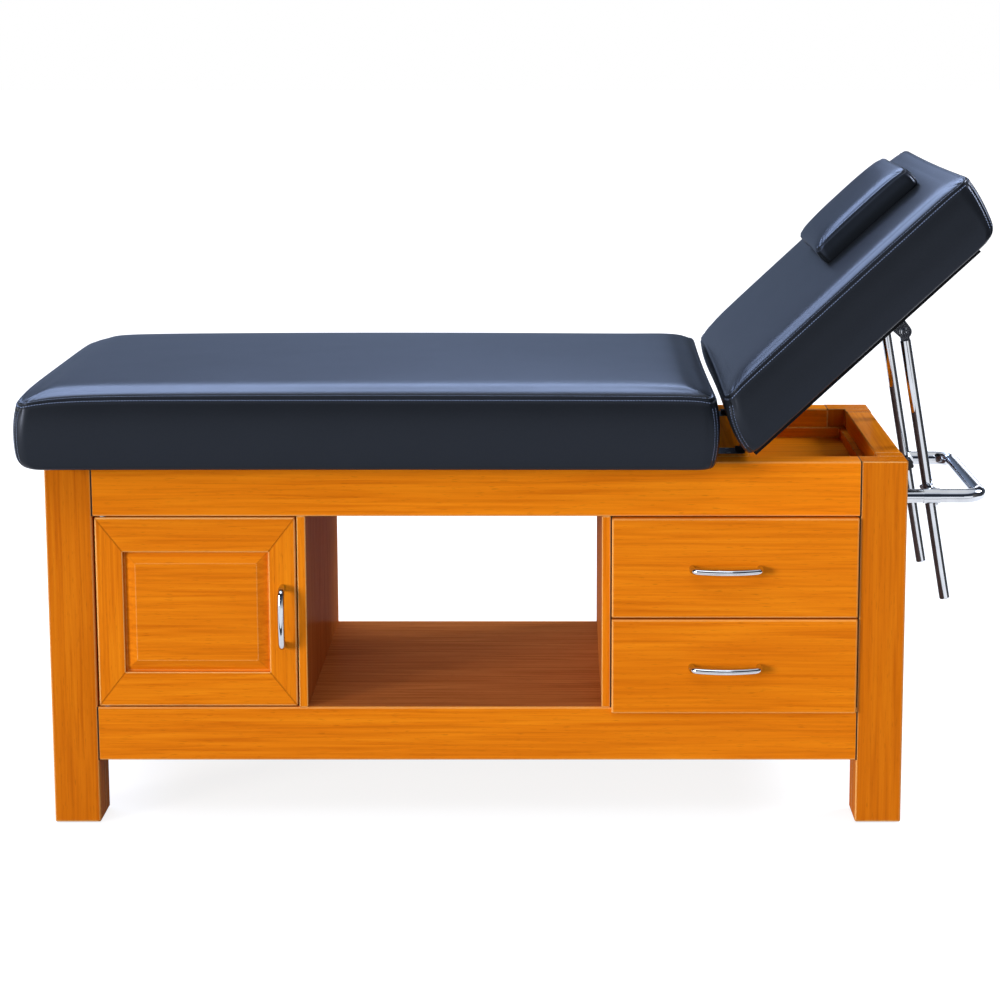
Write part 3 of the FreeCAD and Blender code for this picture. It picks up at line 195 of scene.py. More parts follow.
def vinylMaterial(finish):
    # Wide noise changes colour and roughness from patch to patch, the distance to the borders of a Voronoi
    # pattern darkens the grain's valleys and raises its domes, and finer noise adds creases to the relief.
    look, grain = vinyls[finish], vinylGrain
    material, tree, shader = newMaterial(finish)
    place = addNode(tree, "TexCoord").outputs["Object"]
    wide = addNode(tree, "TexNoise", {"Vector": place, "Scale": 1000 / grain["patch"], "Detail": 4.0})
    creases = addNode(tree, "TexNoise", {"Vector": place, "Scale": 1000 / grain["crease"], "Detail": 5.0,
                                         "Roughness": 0.6})
    pebbles = addNode(tree, "TexVoronoi", {"Vector": place, "Scale": 1000 / grain["pebble"]},
                      feature="DISTANCE_TO_EDGE")
    patches = addNode(tree, "ValToRGB", {"Fac": wide.outputs["Fac"]},
                      stops=[(0.0, look["base"]), (1.0, look["wearAndHighlight"])])
    valley = addNode(tree, "MapRange", {"Value": pebbles.outputs["Distance"], "From Min": 0.0,
                                        "From Max": grain["valley"][0], "To Min": grain["valley"][1],
                                        "To Max": 0.0})
    color = addNode(tree, "Mix", {0: valley.outputs["Result"], 6: patches.outputs["Color"],
                                  7: linearColor(look["valley"])}, data_type="RGBA")
    gloss = addNode(tree, "MapRange", {"Value": wide.outputs["Fac"], "From Min": 0.0, "From Max": 1.0,
                                       "To Min": look["rough"] - grain["down"],
                                       "To Max": look["rough"] + grain["up"]})
    domes = addNode(tree, "MapRange", {"Value": pebbles.outputs["Distance"], "From Min": 0.0,
                                       "From Max": grain["dome"][0], "To Min": 0.0,
                                       "To Max": grain["dome"][1]})
    both = addNode(tree, "Math", {0: domes.outputs["Result"], 1: creases.outputs["Fac"]}, operation="ADD")
    relief = addNode(tree, "Bump", {"Height": both.outputs[0], "Distance": grain["depth"],
                                    "Strength": grain["relief"]})
    tree.links.new(color.outputs[2], shader.inputs["Base Color"])
    tree.links.new(gloss.outputs["Result"], shader.inputs["Roughness"])
    tree.links.new(relief.outputs["Normal"], shader.inputs["Normal"])
    shader.inputs["Specular IOR Level"].default_value = look["level"]
    shader.inputs["Specular Tint"].default_value = linearColor(look["tint"])
    return material


# Metals, plastic and thread; grain is the size in mm of the pattern along each axis, bump its depth in mm
finishes = {
    # steel tube, bright chrome plate over nickel: a clear mirror with faint waves from the tube mill
    "polishedChrome": {"base": "#cdd0d5", "other": "#bcc0c6", "rough": 0.06, "spread": 0.03, "metal": 1.0,
                       "grain": (30, 30, 30), "bump": 0.0012},
    # rolled steel with zinc plate: pale grey, with fine drawn lines
    "zincPlate": {"base": "#a9adb1", "other": "#8f9398", "rough": 0.34, "spread": 0.08, "metal": 1.0,
                  "grain": (60, 60, 1.2), "bump": 0.02},
    # the same zinc-plated steel on the hinges, painted near black as painted shade, with a blurred shine
    "hingeZincShaded": {"base": "#26272a", "other": "#1c1d20", "rough": 0.4, "spread": 0.08, "metal": 1.0,
                  "grain": (60, 60, 1.2), "bump": 0.02},
    # glass-filled nylon, moulded with a spark-eroded texture: near black, with a broken grey shine
    "blackNylon": {"base": "#15161a", "other": "#1f2126", "rough": 0.46, "spread": 0.06, "metal": 0.0,
                   "grain": (1.1, 1.1, 1.1), "bump": 0.05},
    # painted shade in the joints and gaps between parts: a dull line, nearly black
    "jointShade": {"base": "#120a04", "other": "#1c1007", "rough": 0.9, "spread": 0.05, "metal": 0.0,
                  "grain": (2, 2, 2), "bump": 0.0},
    # bonded polyester thread, two plies twisted: a bluish grey that stands out on the covers
    "greyThread": {"base": "#66769a", "other": "#8497bb", "rough": 0.5, "spread": 0.08, "metal": 0.0,
                   "grain": (0.7, 0.7, 0.7), "bump": 0.08},
}


def plainMaterial(finish):
    # one noise, stretched to the finish's grain, mixes two colours and gives the roughness and the relief
    look = finishes[finish]
    material, tree, shader = newMaterial(finish)
    place = addNode(tree, "TexCoord")
    spot = addNode(tree, "Mapping", {"Vector": place.outputs["Object"],
                                     "Scale": [1000 / size for size in look["grain"]]})
    fine = addNode(tree, "TexNoise", {"Vector": spot.outputs["Vector"], "Scale": 1.0, "Detail": 4.0,
                                      "Roughness": 0.6})
    color = addNode(tree, "ValToRGB", {"Fac": fine.outputs["Fac"]},
                    stops=[(0.3, look["base"]), (0.75, look["other"])])
    gloss = addNode(tree, "MapRange", {"Value": fine.outputs["Fac"], "From Min": 0.3, "From Max": 0.7,
                                       "To Min": look["rough"], "To Max": look["rough"] + look["spread"]})
    relief = addNode(tree, "Bump", {"Height": fine.outputs["Fac"], "Distance": look["bump"] / 1000,
                                    "Strength": 0.5})
    tree.links.new(color.outputs["Color"], shader.inputs["Base Color"])
    tree.links.new(gloss.outputs["Result"], shader.inputs["Roughness"])
    tree.links.new(relief.outputs["Normal"], shader.inputs["Normal"])
    shader.inputs["Metallic"].default_value = look["metal"]
    return material


# The backrest's hinge in mm, and the angle in degrees at which the bed stands
hinge = {"x": 416.5, "z": 672.0, "tilt": 43.0}
beechX, beechY, beechZ = [woodMaterial("lacqueredBeech", axis) for axis in "XYZ"]
legBeechShaded, railBeechLit = woodMaterial("legBeechShaded", "Z"), woodMaterial("railBeechLit", "X")
boardX, boardZ = [woodMaterial("brownBoard", axis) for axis in "XZ"]
birchY = woodMaterial("waxedBirch", "Y")
plywoodX = woodMaterial("rawPlywood", "X")
blackBoardX = woodMaterial("blackPlywood", "X", (0, math.radians(hinge["tilt"]), 0))
slateVinyl, pillowVinyl = vinylMaterial("slateVinyl"), vinylMaterial("pillowVinyl")
chrome, zinc, hingeZincShaded, nylon, jointShade, thread = [plainMaterial(name) for name in finishes]
print("materials made:", len(bpy.data.materials))

# The finish of each piece of the frame, of the door and drawers, and of the metal and plastic fittings
dressed = {
    "leg_foot_front": legBeechShaded, "leg_foot_rear": legBeechShaded,
    "leg_head_front": legBeechShaded, "leg_head_rear": legBeechShaded,
    "top_rail_front": railBeechLit, "top_rail_rear": railBeechLit, "top_rail_foot": beechY, "top_rail_head": beechY,
    "bottom_rail_front": beechX, "bottom_rail_rear": beechX, "bottom_end_rails": beechY,
    "bottom_panel": boardX, "tray_floor": beechX, "tray_cleats": beechX, "tray_beads": beechX,
    "cross_rail": beechY, "divider_left": boardZ, "divider_right": boardZ, "divider_lippings": beechZ,
    "end_panels": beechY, "back_panels": boardZ, "seat_board": plywoodX, "backrest_board": blackBoardX,
    "door_stiles": beechZ, "door_rails": beechX, "door_panel": beechX,
    "drawer_front_upper": beechX, "drawer_front_lower": beechX,
    "drawer_box_upper": birchY, "drawer_box_lower": birchY,
    "door_handle": chrome, "drawer_handle_upper": chrome, "drawer_handle_lower": chrome,
    "support_bar": chrome, "bar_flanges": chrome, "bar_sleeves": chrome, "sleeve_screws": chrome,
    "swivel_block_front": chrome, "swivel_block_rear": chrome, "clevis_brackets": chrome,
    "clevis_bolts": chrome, "prop_front": chrome, "prop_rear": chrome,
    "door_catch": nylon, "foot_glides": nylon, "lock_knob_front": nylon, "lock_knob_rear": nylon,
    "door_strike": zinc, "door_pivot_pins": zinc, "drawer_runners": zinc, "drawer_slides_upper": zinc,
    "drawer_slides_lower": zinc, "hinge_bases": hingeZincShaded, "hinge_pins": hingeZincShaded, "hinge_arms": hingeZincShaded,
    "frame_screws": zinc, "backrest_screws": zinc,
}
for nodeName, material in dressed.items():
    for holder in nodes[nodeName].material_slots:
        holder.material = material
print("nodes dressed:", len(dressed))


def meshPiece(name, points, faces, material):
    # a smooth piece from points in millimetres and faces as an array of quads
    mesh = bpy.data.meshes.new(name)
    mesh.from_pydata((points / 1000).tolist(), [], faces.tolist())
    mesh.materials.append(material)
    mesh.polygons.foreach_set("use_smooth", np.ones(len(faces), bool))
    mesh.update()
    piece = bpy.data.objects.new(name, mesh)
    scene.collection.objects.link(piece)
    return piece


def meshValues(piece, name):
    # every vertex's place in millimetres, or its normal
    flat = np.zeros(len(piece.data.vertices) * 3, np.float32)
    piece.data.vertices.foreach_get(name, flat)
    return flat.reshape(-1, 3).astype(float) * (1000 if name == "co" else 1)


def setPoints(piece, points):
    # moves the vertices to points in millimetres
    piece.data.vertices.foreach_set("co", (points / 1000).astype(np.float32).ravel())
    piece.data.update()


def spread(length, starts, largest):
    # Distances along a side: the given steps from both ends, then steps that grow towards the largest as one
    # minus an exponential, stretched a little so that they meet in the middle.
    mostSteps, growth = 400, 7
    fade = np.exp(-np.arange(1, mostSteps) / growth)
    growing = largest * (1 - fade) + starts[-1] * fade
    room = length / 2 - sum(starts)
    inner = np.cumsum(growing)
    inner = inner[:max(1, int(np.searchsorted(inner, room)))]
    half = np.concatenate([[0], np.cumsum(starts), sum(starts) + inner * room / inner[-1]])
    return np.concatenate([half, length - half[-2::-1]])


def sideOfOutline(length, radius, draw, places):
    # One side of a rounded rectangle, from the middle of one corner to the middle of the next, as distances
    # along it and in from it: a circle's sine and cosine in the corners, a shallow parabola between them.
    arc = radius * math.pi / 4
    walked = places / places[-1] * (length - 2 * radius + 2 * arc)
    fromEnd = np.minimum(walked, walked[-1] - walked)
    angle = np.clip((arc - fromEnd) / radius, 0, None)
    near = np.where(fromEnd < arc, radius - radius * np.sin(angle), radius + fromEnd - arc)
    along = np.where(walked < walked[-1] / 2, near, length - near)
    share = np.clip((fromEnd - arc) / (length / 2 - radius), 0, 1)
    return along, radius - radius * np.cos(angle) + draw * (1 - (1 - share) ** 2)


def outlineRing(box, radius, draw, longPlaces, shortPlaces):
    # the rounded outline seen from above: front side first, then the head end, the rear and the foot end
    x0, x1, y0, y1 = box
    along, inward = sideOfOutline(x1 - x0, radius, draw, longPlaces)
    across, inset = sideOfOutline(y1 - y0, radius, draw, shortPlaces)
    sides = ((x0 + along, y0 + inward), (x1 - inset, y0 + across),
             (x1 - along, y1 - inward), (x0 + inset, y1 - across))
    return np.vstack([np.column_stack(side)[:-1] for side in sides])


def squareRing(xs, ys):
    # the border of a rectangular grid, walked the same way round
    sides = ((xs, np.full(len(xs), ys[0])), (np.full(len(ys), xs[-1]), ys),
             (xs[::-1], np.full(len(xs), ys[-1])), (np.full(len(ys), xs[0]), ys[::-1]))
    return np.vstack([np.column_stack(side)[:-1] for side in sides])


def crownHeight(x, y, pad):
    # Height of the top over the seam: it rises within a few centimetres of each side, as one minus an
    # exponential, and arches a little over its whole width and length, as one minus a square.
    x0, x1 = pad["seam"]
    u = (2 * x - x0 - x1) / (x1 - x0)
    v = y / pad["half"]
    fromX = np.maximum(np.minimum(x - x0, x1 - x), 0)
    fromY = np.maximum(pad["half"] - np.abs(y), 0)
    edge = (1 - np.exp(-fromX / pad["crownRun"])) * (1 - np.exp(-fromY / pad["crownRun"]))
    return pad["crown"] * edge + pad["arch"] * np.clip(1 - u ** 2, 0, 1) * np.clip(1 - v ** 2, 0, 1)


def padSurface(pad):
    # A boxed cushion: rings carried up the side and over the seam, each the pad's outline with its own
    # inset, and a rectangular grid that closes the top and another the underside.
    (low0, low1), (seam0, seam1) = pad["low"], pad["seam"]
    half, side, base = pad["half"], pad["side"], pad["base"]
    longPlaces = spread(seam1 - seam0 - 2 * pad["inset"], pad["starts"], pad["largest"])
    shortPlaces = spread(2 * (half - pad["inset"]), pad["starts"], pad["largest"])
    topX, topY = seam0 + pad["inset"] + longPlaces, pad["inset"] - half + shortPlaces
    lowX = low0 + pad["lowInset"] + longPlaces / longPlaces[-1] * (low1 - low0 - 2 * pad["lowInset"])
    lowY = topY / topY[-1] * (half - pad["lowInset"])

    def sideRing(drop):
        # the sides bulge between seam and underside, and the lower edge turns in on a quarter circle
        part = 1 - drop / side
        swell = 1 - abs(2 * part - 1) ** pad["bulgePower"]
        footOut, headOut, sideOut = [size * swell for size in pad["bulge"]]
        rise = side - drop
        footIn, headIn, edgeIn = [r - math.sqrt(r * r - max(r - rise, 0) ** 2) for r in pad["rounds"]]
        box = (low0 + (seam0 - low0) * part - footOut + footIn,
               low1 + (seam1 - low1) * part + headOut - headIn,
               -half - sideOut + edgeIn, half + sideOut - edgeIn)
        outline = outlineRing(box, pad["radius"], pad["draw"], longPlaces, shortPlaces)
        return np.column_stack([outline, np.full(len(outline), base + rise)])

    rings = [sideRing(drop) for drop in pad["drops"]]
    flatLow = np.column_stack([squareRing(lowX, lowY), np.full(len(rings[0]), base)])
    rings = [flatLow, flatLow * 0.5 + rings[0] * 0.5] + rings
    seamRing = rings[-1]
    border = squareRing(topX, topY)
    for gap in list(pad["gaps"]) + [pad["inset"]]:
        share = gap / pad["inset"]
        x, y = (seamRing[:, :2] + (border - seamRing[:, :2]) * share).T
        rings.append(np.column_stack([x, y, base + side + crownHeight(x, y, pad)]))
    rings = np.array(rings)

    levels, around = rings.shape[:2]
    first = np.arange(levels - 1)[:, None] * around
    here = np.arange(around)
    ahead = (here + 1) % around
    faces = [np.stack([first + here, first + ahead, first + around + ahead, first + around + here],
                      -1).reshape(-1, 4)]
    points = [rings.reshape(-1, 3)]
    countX, countY = len(longPlaces), len(shortPlaces)
    for level, xs, ys in ((levels - 1, topX, topY), (0, lowX, lowY)):
        # the grid inside a ring takes the ring's own vertices along its border
        index = np.zeros((countY, countX), int)
        edge = level * around + np.arange(around)
        index[0, :] = edge[:countX]
        index[:, -1] = edge[countX - 1:countX - 1 + countY]
        index[-1, ::-1] = edge[countX + countY - 2:2 * countX + countY - 2]
        index[1:, 0] = edge[2 * countX + countY - 3:][::-1][:countY - 1]
        made = sum(len(p) for p in points)
        index[1:-1, 1:-1] = made + np.arange((countX - 2) * (countY - 2)).reshape(countY - 2, -1)
        gridX, gridY = [g[1:-1, 1:-1].ravel() for g in np.meshgrid(xs, ys)]
        if level:
            height = base + side + crownHeight(gridX, gridY, pad)
        else:
            px0, px1, py, pz = pad["pocket"]
            height = base + pz * ((gridX > px0) & (gridX < px1) & (np.abs(gridY) < py))
        points.append(np.column_stack([gridX, gridY, height]))
        quads = np.stack([index[:-1, :-1], index[:-1, 1:], index[1:, 1:], index[1:, :-1]], -1).reshape(-1, 4)
        faces.append(quads if level else quads[:, ::-1])
    walks = np.concatenate([sideWalk(places) for places in (longPlaces, shortPlaces) * 2])
    return np.vstack(points), np.vstack(faces), levels, around, walks, (countX, countY)


def sideWalk(places):
    # distance from the nearer corner, with a sign that tells which side of the corner it is on
    return np.where(places < places[-1] / 2, places, places - places[-1])[:-1]


def inflate(piece, pad):
    # The cover is held along its seams and blown up a little by Cloth pressure, as foam fills it. A
    # hyperbolic tangent keeps each point's move under the cap, and each is then averaged with its
    # neighbours' many times over.
    rest = meshValues(piece, "co")
    rise = rest[:, 2] - pad["base"]
    held = np.where((np.abs(rise - pad["side"]) < pad["seamBand"]) | (rise < pad["heldBelow"]))[0]
    piece.vertex_groups.new(name="seamLine").add(held.tolist(), 1.0, "REPLACE")
    cloth = piece.modifiers.new("Swell", "CLOTH")
    cloth.settings.use_pressure = True
    cloth.settings.uniform_pressure_force = pad["pressure"]
    cloth.settings.effector_weights.gravity = 0
    cloth.settings.vertex_group_mass = "seamLine"
    cloth.point_cache.frame_start = 1
    cloth.point_cache.frame_end = pad["frames"]
    for step in range(1, pad["frames"] + 1):
        scene.frame_set(step)
    swollen = piece.evaluated_get(bpy.context.evaluated_depsgraph_get())
    moved = np.zeros(rest.size, np.float32)
    swollen.data.vertices.foreach_get("co", moved)
    shift = moved.reshape(-1, 3) * 1000 - rest
    reach = np.linalg.norm(shift, axis=1)
    shift *= (pad["cap"] * np.tanh(reach / pad["cap"]) / np.maximum(reach, 1e-6))[:, None]
    ends = np.zeros(len(piece.data.edges) * 2, np.int32)
    piece.data.edges.foreach_get("vertices", ends)
    pairs = np.concatenate([ends.reshape(-1, 2), ends.reshape(-1, 2)[:, ::-1]])
    around = np.bincount(pairs[:, 0], minlength=len(rest))[:, None]
    for step in range(pad["smoothings"]):
        total = np.zeros_like(shift)
        np.add.at(total, pairs[:, 0], shift[pairs[:, 1]])
        shift = (shift + total / around) / 2
        shift[held] = 0
    piece.modifiers.remove(cloth)
    piece.vertex_groups.clear()
    setPoints(piece, rest + shift)
    scene.frame_set(1)
    print("swollen:", piece.name, "most", round(float(np.linalg.norm(shift, axis=1).max()), 1), "mm")


# Where the sewing pulls, in mm: an end's seam flattens over endRun from its corner, the corner seams grow
# over sideRun from sideStart below the upper seam and fade over lowRun above the underside, and the puckers
# lean by a radian each waveTurn from the upper seam, grow over waveRun from waveStart and fade over waveFade
sewing = {"endRun": 30, "sideStart": 5, "sideRun": 6, "lowRun": 8, "waveTurn": 14, "waveStart": 1,
          "waveRun": 4, "waveFade": 13, "droopPower": 1.5}


def sewn(points, normals, pad, levels, around, walks, atEnd):
    # Each ring moves along its normals by the seam's profile at its distance from the seam, less at the two
    # ends, where the cover is pulled flatter, and the columns beside the corner seams by the corner profile.
    # Puckers are a sine along the seam that fades with the distance from the corner and from the seam, and
    # the seam droops towards each corner exponentially.
    away = np.array([-pad["side"]] * underRings + [-drop for drop in pad["drops"]]
                    + list(pad["gaps"]) + [pad["inset"]])
    profile = np.array(pad["seamProfile"])
    corner = np.abs(walks)
    pulled = 1 - (1 - pad["endFold"]) * atEnd * np.clip(corner / sewing["endRun"], 0, 1)
    shift = np.interp(away, profile[:, 0], profile[:, 1])[:, None] * pulled
    sewnDown = (np.clip((-away - sewing["sideStart"]) / sewing["sideRun"], 0, 1)
                * np.clip((pad["side"] + away) / sewing["lowRun"], 0, 1))
    profile = np.array(pad["cornerProfile"])
    shift += sewnDown[:, None] * np.interp(corner, profile[:, 0], profile[:, 1])
    length, size, reach = pad["pucker"]
    turn = 2 * math.pi * walks / length + np.abs(away)[:, None] / sewing["waveTurn"]
    start = np.clip((np.abs(away) - sewing["waveStart"]) / sewing["waveRun"], 0, 1)
    near = np.exp(-np.abs(away) / sewing["waveFade"]) * start
    shift += size * (np.sin(turn) * np.exp(-corner / reach)) * near[:, None]
    moved = points.copy()
    moved[:levels * around] += normals[:levels * around] * shift.reshape(-1, 1)
    fade = np.clip((points[:, 2] - pad["base"]) / pad["side"], 0, 1) ** sewing["droopPower"]
    for end, (drop, run) in zip(pad["seam"], pad["droops"]):
        fromCorner = np.hypot(points[:, 0] - end, np.maximum(pad["half"] - np.abs(points[:, 1]), 0))
        moved[:, 2] -= drop * np.exp(-fromCorner / run) * fade
    return moved


def subdivided(piece):
    # swaps the mesh for one with each face divided in four and smoothed
    divide = piece.modifiers.new("Divide", "SUBSURF")
    divide.levels = divide.render_levels = 1
    finer = bpy.data.meshes.new_from_object(piece.evaluated_get(bpy.context.evaluated_depsgraph_get()))
    piece.modifiers.remove(divide)
    old, piece.data = piece.data, finer
    bpy.data.meshes.remove(old)
    finer.name = piece.name


def tilted(points):
    # from the flat backrest to the angle at which the bed stands: a turn about the hinge by sine and cosine
    angle = math.radians(hinge["tilt"])
    dx, dz = points[:, 0] - hinge["x"], points[:, 2] - hinge["z"]
    return np.column_stack([hinge["x"] + dx * math.cos(angle) - dz * math.sin(angle), points[:, 1],
                            hinge["z"] + dx * math.sin(angle) + dz * math.cos(angle)])


# A stitch's rings and sides, how far round its cosine goes, its thickness at the ends, and how high it rides
# over the cover and how deep its ends lie, all three as shares of the thread
threadForm = {"rings": 5, "sides": 6, "arc": 0.9, "endSize": 0.35, "ride": 0.5, "sink": 0.2}


def stitchRow(path, outward, stitch):
    # Stitches end to end along a path: each a thread of six sides whose radius and height over the cover
    # follow a cosine, so that both ends dive into it.
    pitch, long, thick = stitch
    rings, sides, endSize = threadForm["rings"], threadForm["sides"], threadForm["endSize"]
    walked = np.concatenate([[0], np.cumsum(np.linalg.norm(np.diff(path, axis=0), axis=1))])
    count = int(walked[-1] // pitch)
    share = np.linspace(-0.5, 0.5, rings)
    swell = np.cos(share * math.pi * threadForm["arc"])
    at = (np.arange(count) + 0.5)[:, None] * walked[-1] / count + share * long
    spot, up = [np.stack([np.interp(at, walked, line[:, axis]) for axis in range(3)], -1)
                for line in (path, outward)]
    up /= np.linalg.norm(up, axis=-1, keepdims=True)
    ahead = spot[:, -1:] - spot[:, :1]
    ahead = ahead / np.linalg.norm(ahead, axis=-1, keepdims=True)
    across = np.cross(ahead, up)
    turn = np.arange(sides) * math.pi * 2 / sides
    radius = thick / 2 * (endSize + (1 - endSize) * swell)[:, None]
    centre = spot + up * (thick * (threadForm["ride"] * swell - threadForm["sink"]))[:, None]
    points = (centre[:, :, None] + up[:, :, None] * (radius * np.sin(turn))[..., None]
              + across[:, :, None] * (radius * np.cos(turn))[..., None])
    k, t = np.meshgrid(np.arange(rings - 1) * sides, np.arange(sides), indexing="ij")
    n = (t + 1) % sides
    cap = np.array([[0, 1, 2, 3], [0, 3, 4, 5]])  # two quads close a ring of six
    one = np.vstack([np.stack([k + t, k + t + sides, k + n + sides, k + n], -1).reshape(-1, 4),
                     cap, cap[:, ::-1] + (rings - 1) * sides])
    return points.reshape(-1, 3), (np.arange(count)[:, None, None] * rings * sides + one).reshape(-1, 4)


# The pads, in mm: low is the underside's ends along the bed and seam the upper seam's, drops are the side
# rings' distances below the seam and gaps the top rings' distances inside it. Bulge and rounds are the foot
# end's, the head end's and the sides', and droops a depth and a reach at the foot and at the head. Profiles
# are pairs of a distance and a height over the cover: a groove at the seam with a fold each side, and a dip
# where it is topstitched. A pucker has its length, height and reach, a stitch its pitch, length and thread.
seatPad = {
    "name": "seatPad", "node": "seat_pad", "body": "frame", "slot": "seat_vinyl", "fill": 0.9,
    "low": (-852.5, 352.5), "seam": (-852.5, 354.5), "half": 347, "base": 664, "side": 127,
    "rounds": (24, 7, 5), "bulge": (6, 8, 6), "bulgePower": 2.2, "radius": 26, "draw": 3,
    "crown": 13, "crownRun": 18, "arch": 7, "inset": 30, "lowInset": 52,
    "starts": (1.7, 1.7, 2, 2.4, 2.8, 3.2, 3.8, 4.6, 5.6, 6.8, 8), "largest": 17,
    "drops": (127, 124, 118, 109, 97, 82, 69, 55, 42, 31, 22, 15, 10, 7, 4.8, 3.2, 1.6, 0),
    "gaps": (1.6, 3.2, 4.8, 6.4, 8, 10, 13, 17, 23), "pocket": (-816, 350, 264, 18.4),
    "pressure": 4.0, "frames": 20, "cap": 2.2, "smoothings": 16, "seamBand": 0.5, "heldBelow": 4,
    "pucker": (11, 0.9, 26), "droops": ((17, 50), (14, 14)), "endFold": 0.15,
    "seamProfile": ((-10, 0), (-7, 0.2), (-4.8, 0.7), (-3.2, 1.2), (-1.6, 0.2), (0, -5.0), (1.6, 0.2),
                    (3.2, 1.9), (4.8, 1.2), (6.4, -0.8), (8, -1.0), (10, -0.1), (13, 0)),
    "cornerProfile": ((0, -1.5), (1.7, -0.5), (3.4, 0.6), (5.5, 0.3), (8, 0)),
    "topRow": 6.4, "sideRow": 3.2, "cornerRow": 3.4, "stitch": (5.0, 3.9, 1.3),
    "cornerStitch": (4.6, 3.2, 1.0),
}
backrestPad = dict(seatPad, name="backrestPad", node="backrest_pad", body="backrest", low=(424, 993),
                   seam=(460.5, 1020), base=685.5, side=105, rounds=(8, 16, 5), bulge=(10, 4, 6), radius=28,
                   crown=13, crownRun=22, arch=3, cap=1.8,
                   drops=(105, 102, 97, 89, 79, 68, 56, 44, 32, 23, 16, 10, 7, 4.8, 3.2, 1.6, 0),
                   pocket=(0, 0, 0, 0), droops=((9, 14), (7, 14)))
headPillow = dict(seatPad, name="headPillow", node="head_pillow", body="backrest", slot="pillow_vinyl",
                  fill=0.95, low=(748.5, 964.5), seam=(748.5, 964.5), half=140, base=804, side=38,
                  rounds=(4, 4, 4), bulge=(3, 3, 3), radius=15, draw=1.5, crown=9, crownRun=12, arch=2,
                  inset=20, lowInset=24, starts=(1.6, 1.6, 2, 2.4, 2.8, 3.2, 3.8), largest=9,
                  drops=(38, 36, 32, 26, 20, 14, 9, 5, 3, 1.5, 0), gaps=(1.5, 3, 5, 7, 10, 14),
                  pocket=(0, 0, 0, 0), cap=1.2, heldBelow=3, pucker=(8, 0.8, 16), droops=((6, 12), (6, 12)),
                  seamProfile=((-8, 0), (-5, 0.4), (-3, 0.8), (-1.5, -0.8), (0, -1.8), (1.5, -0.8), (3, 0.9),
                               (5, 0.1), (7, -0.2), (10, 0)), topRow=0, sideRow=0)
# Rings under the first side ring, and what a row of stitches leaves free: columns at its two ends along a
# side, and rings at the foot and the head of a corner
underRings = 2
rowFree = {"columns": 3, "below": 5, "above": 4}

for pad in (seatPad, backrestPad, headPillow):
    points, faces, levels, around, walks, (countX, countY) = padSurface(pad)
    piece = meshPiece(pad["name"], points, faces, pillowVinyl if pad is headPillow else slateVinyl)
    inflate(piece, pad)
    atEnd = np.tile(np.repeat([0, 1], (countX - 1, countY - 1)), 2)
    cover = sewn(meshValues(piece, "co"), meshValues(piece, "normal"), pad, levels, around, walks, atEnd)
    setPoints(piece, cover)
    subdivided(piece)
    skin = meshValues(piece, "co")[:levels * around].reshape(levels, around, 3)
    outward = meshValues(piece, "normal")[:levels * around].reshape(levels, around, 3)
    rows = []
    if pad["topRow"]:
        seamLevel = underRings + len(pad["drops"]) - 1
        lowRow = underRings + pad["drops"].index(pad["sideRow"])
        highRow = seamLevel + 1 + pad["gaps"].index(pad["topRow"])
        rear = countX + countY - 2
        # a row below the seam and one above it, at the front and the rear
        for level in (lowRow, highRow):
            for first in (0, rear):
                line = level, slice(first + rowFree["columns"], first + countX - rowFree["columns"])
                rows.append(stitchRow(skin[line], outward[line], pad["stitch"]))
        # a row on each side of the four corner seams
        beside = int(np.argmin(np.abs(walks[:countX // 2] - pad["cornerRow"])))
        for column in (0, countX - 1, rear, rear + countX - 1):
            for step in (-beside, beside):
                line = slice(rowFree["below"], seamLevel - rowFree["above"]), (column + step) % around
                rows.append(stitchRow(skin[line], outward[line], pad["cornerStitch"]))
    if pad["body"] == "backrest":
        setPoints(piece, tilted(meshValues(piece, "co")))
        rows = [(tilted(rowPoints), rowFaces) for rowPoints, rowFaces in rows]
    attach(piece, pad["body"])
    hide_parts(pad["node"])
    if rows:
        starts = np.cumsum([0] + [len(rowPoints) for rowPoints, rowFaces in rows])
        rowFaces = np.vstack([row[1] + start for row, start in zip(rows, starts)])
        stitches = meshPiece(pad["name"] + "Stitches", np.vstack([row[0] for row in rows]), rowFaces, thread)
        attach(stitches, pad["body"])
    print("pad made:", pad["name"], len(piece.data.polygons), "faces,", len(rows), "rows of stitches")


# Painted shade in the joints: thin dark boxes stand for the shade where the rails meet the legs and in the
# gaps beside the drawers. Each is a thin box, given by its ends along X, Y and Z in millimetres.
joints = {
    "topRailFoot": (-741.7, -739.3, -270.3, -268, 566, 664.3),
    "topRailHead": (614.3, 616.7, -270.3, -268, 566, 664.3),
    "bottomRailFoot": (-741.7, -739.3, -270.3, -268, 119, 217),
    "bottomRailHead": (614.3, 616.7, -270.3, -268, 119, 208),
    "frontCorner": (614.9, 616.1, -270.3, -222, 662, 664.2),
    "rearCorner": (614.9, 616.1, 222, 270, 662, 664.2),
    "headRail": (649.5, 697.3, 189.3, 190.7, 662, 664.2),
    "besideLeg": (613.2, 615.6, -269.8, -262, 217, 566),
    "besideLipping": (174.4, 176.8, -269.8, -262, 217, 566),
}
boxFaces = np.array([[0, 2, 6, 4], [1, 5, 7, 3], [0, 4, 5, 1], [2, 3, 7, 6], [0, 1, 3, 2], [4, 6, 7, 5]])
corners = np.array([[x, y, z] for box in joints.values() for x in box[:2] for y in box[2:4] for z in box[4:]])
jointFaces = (np.arange(len(joints))[:, None, None] * 8 + boxFaces).reshape(-1, 4)
jointLines = meshPiece("jointShadeStrips", corners, jointFaces, jointShade)
jointLines.data.polygons.foreach_set("use_smooth", np.zeros(len(jointFaces), bool))
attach(jointLines, "frame")
print("joint lines made:", len(joints))

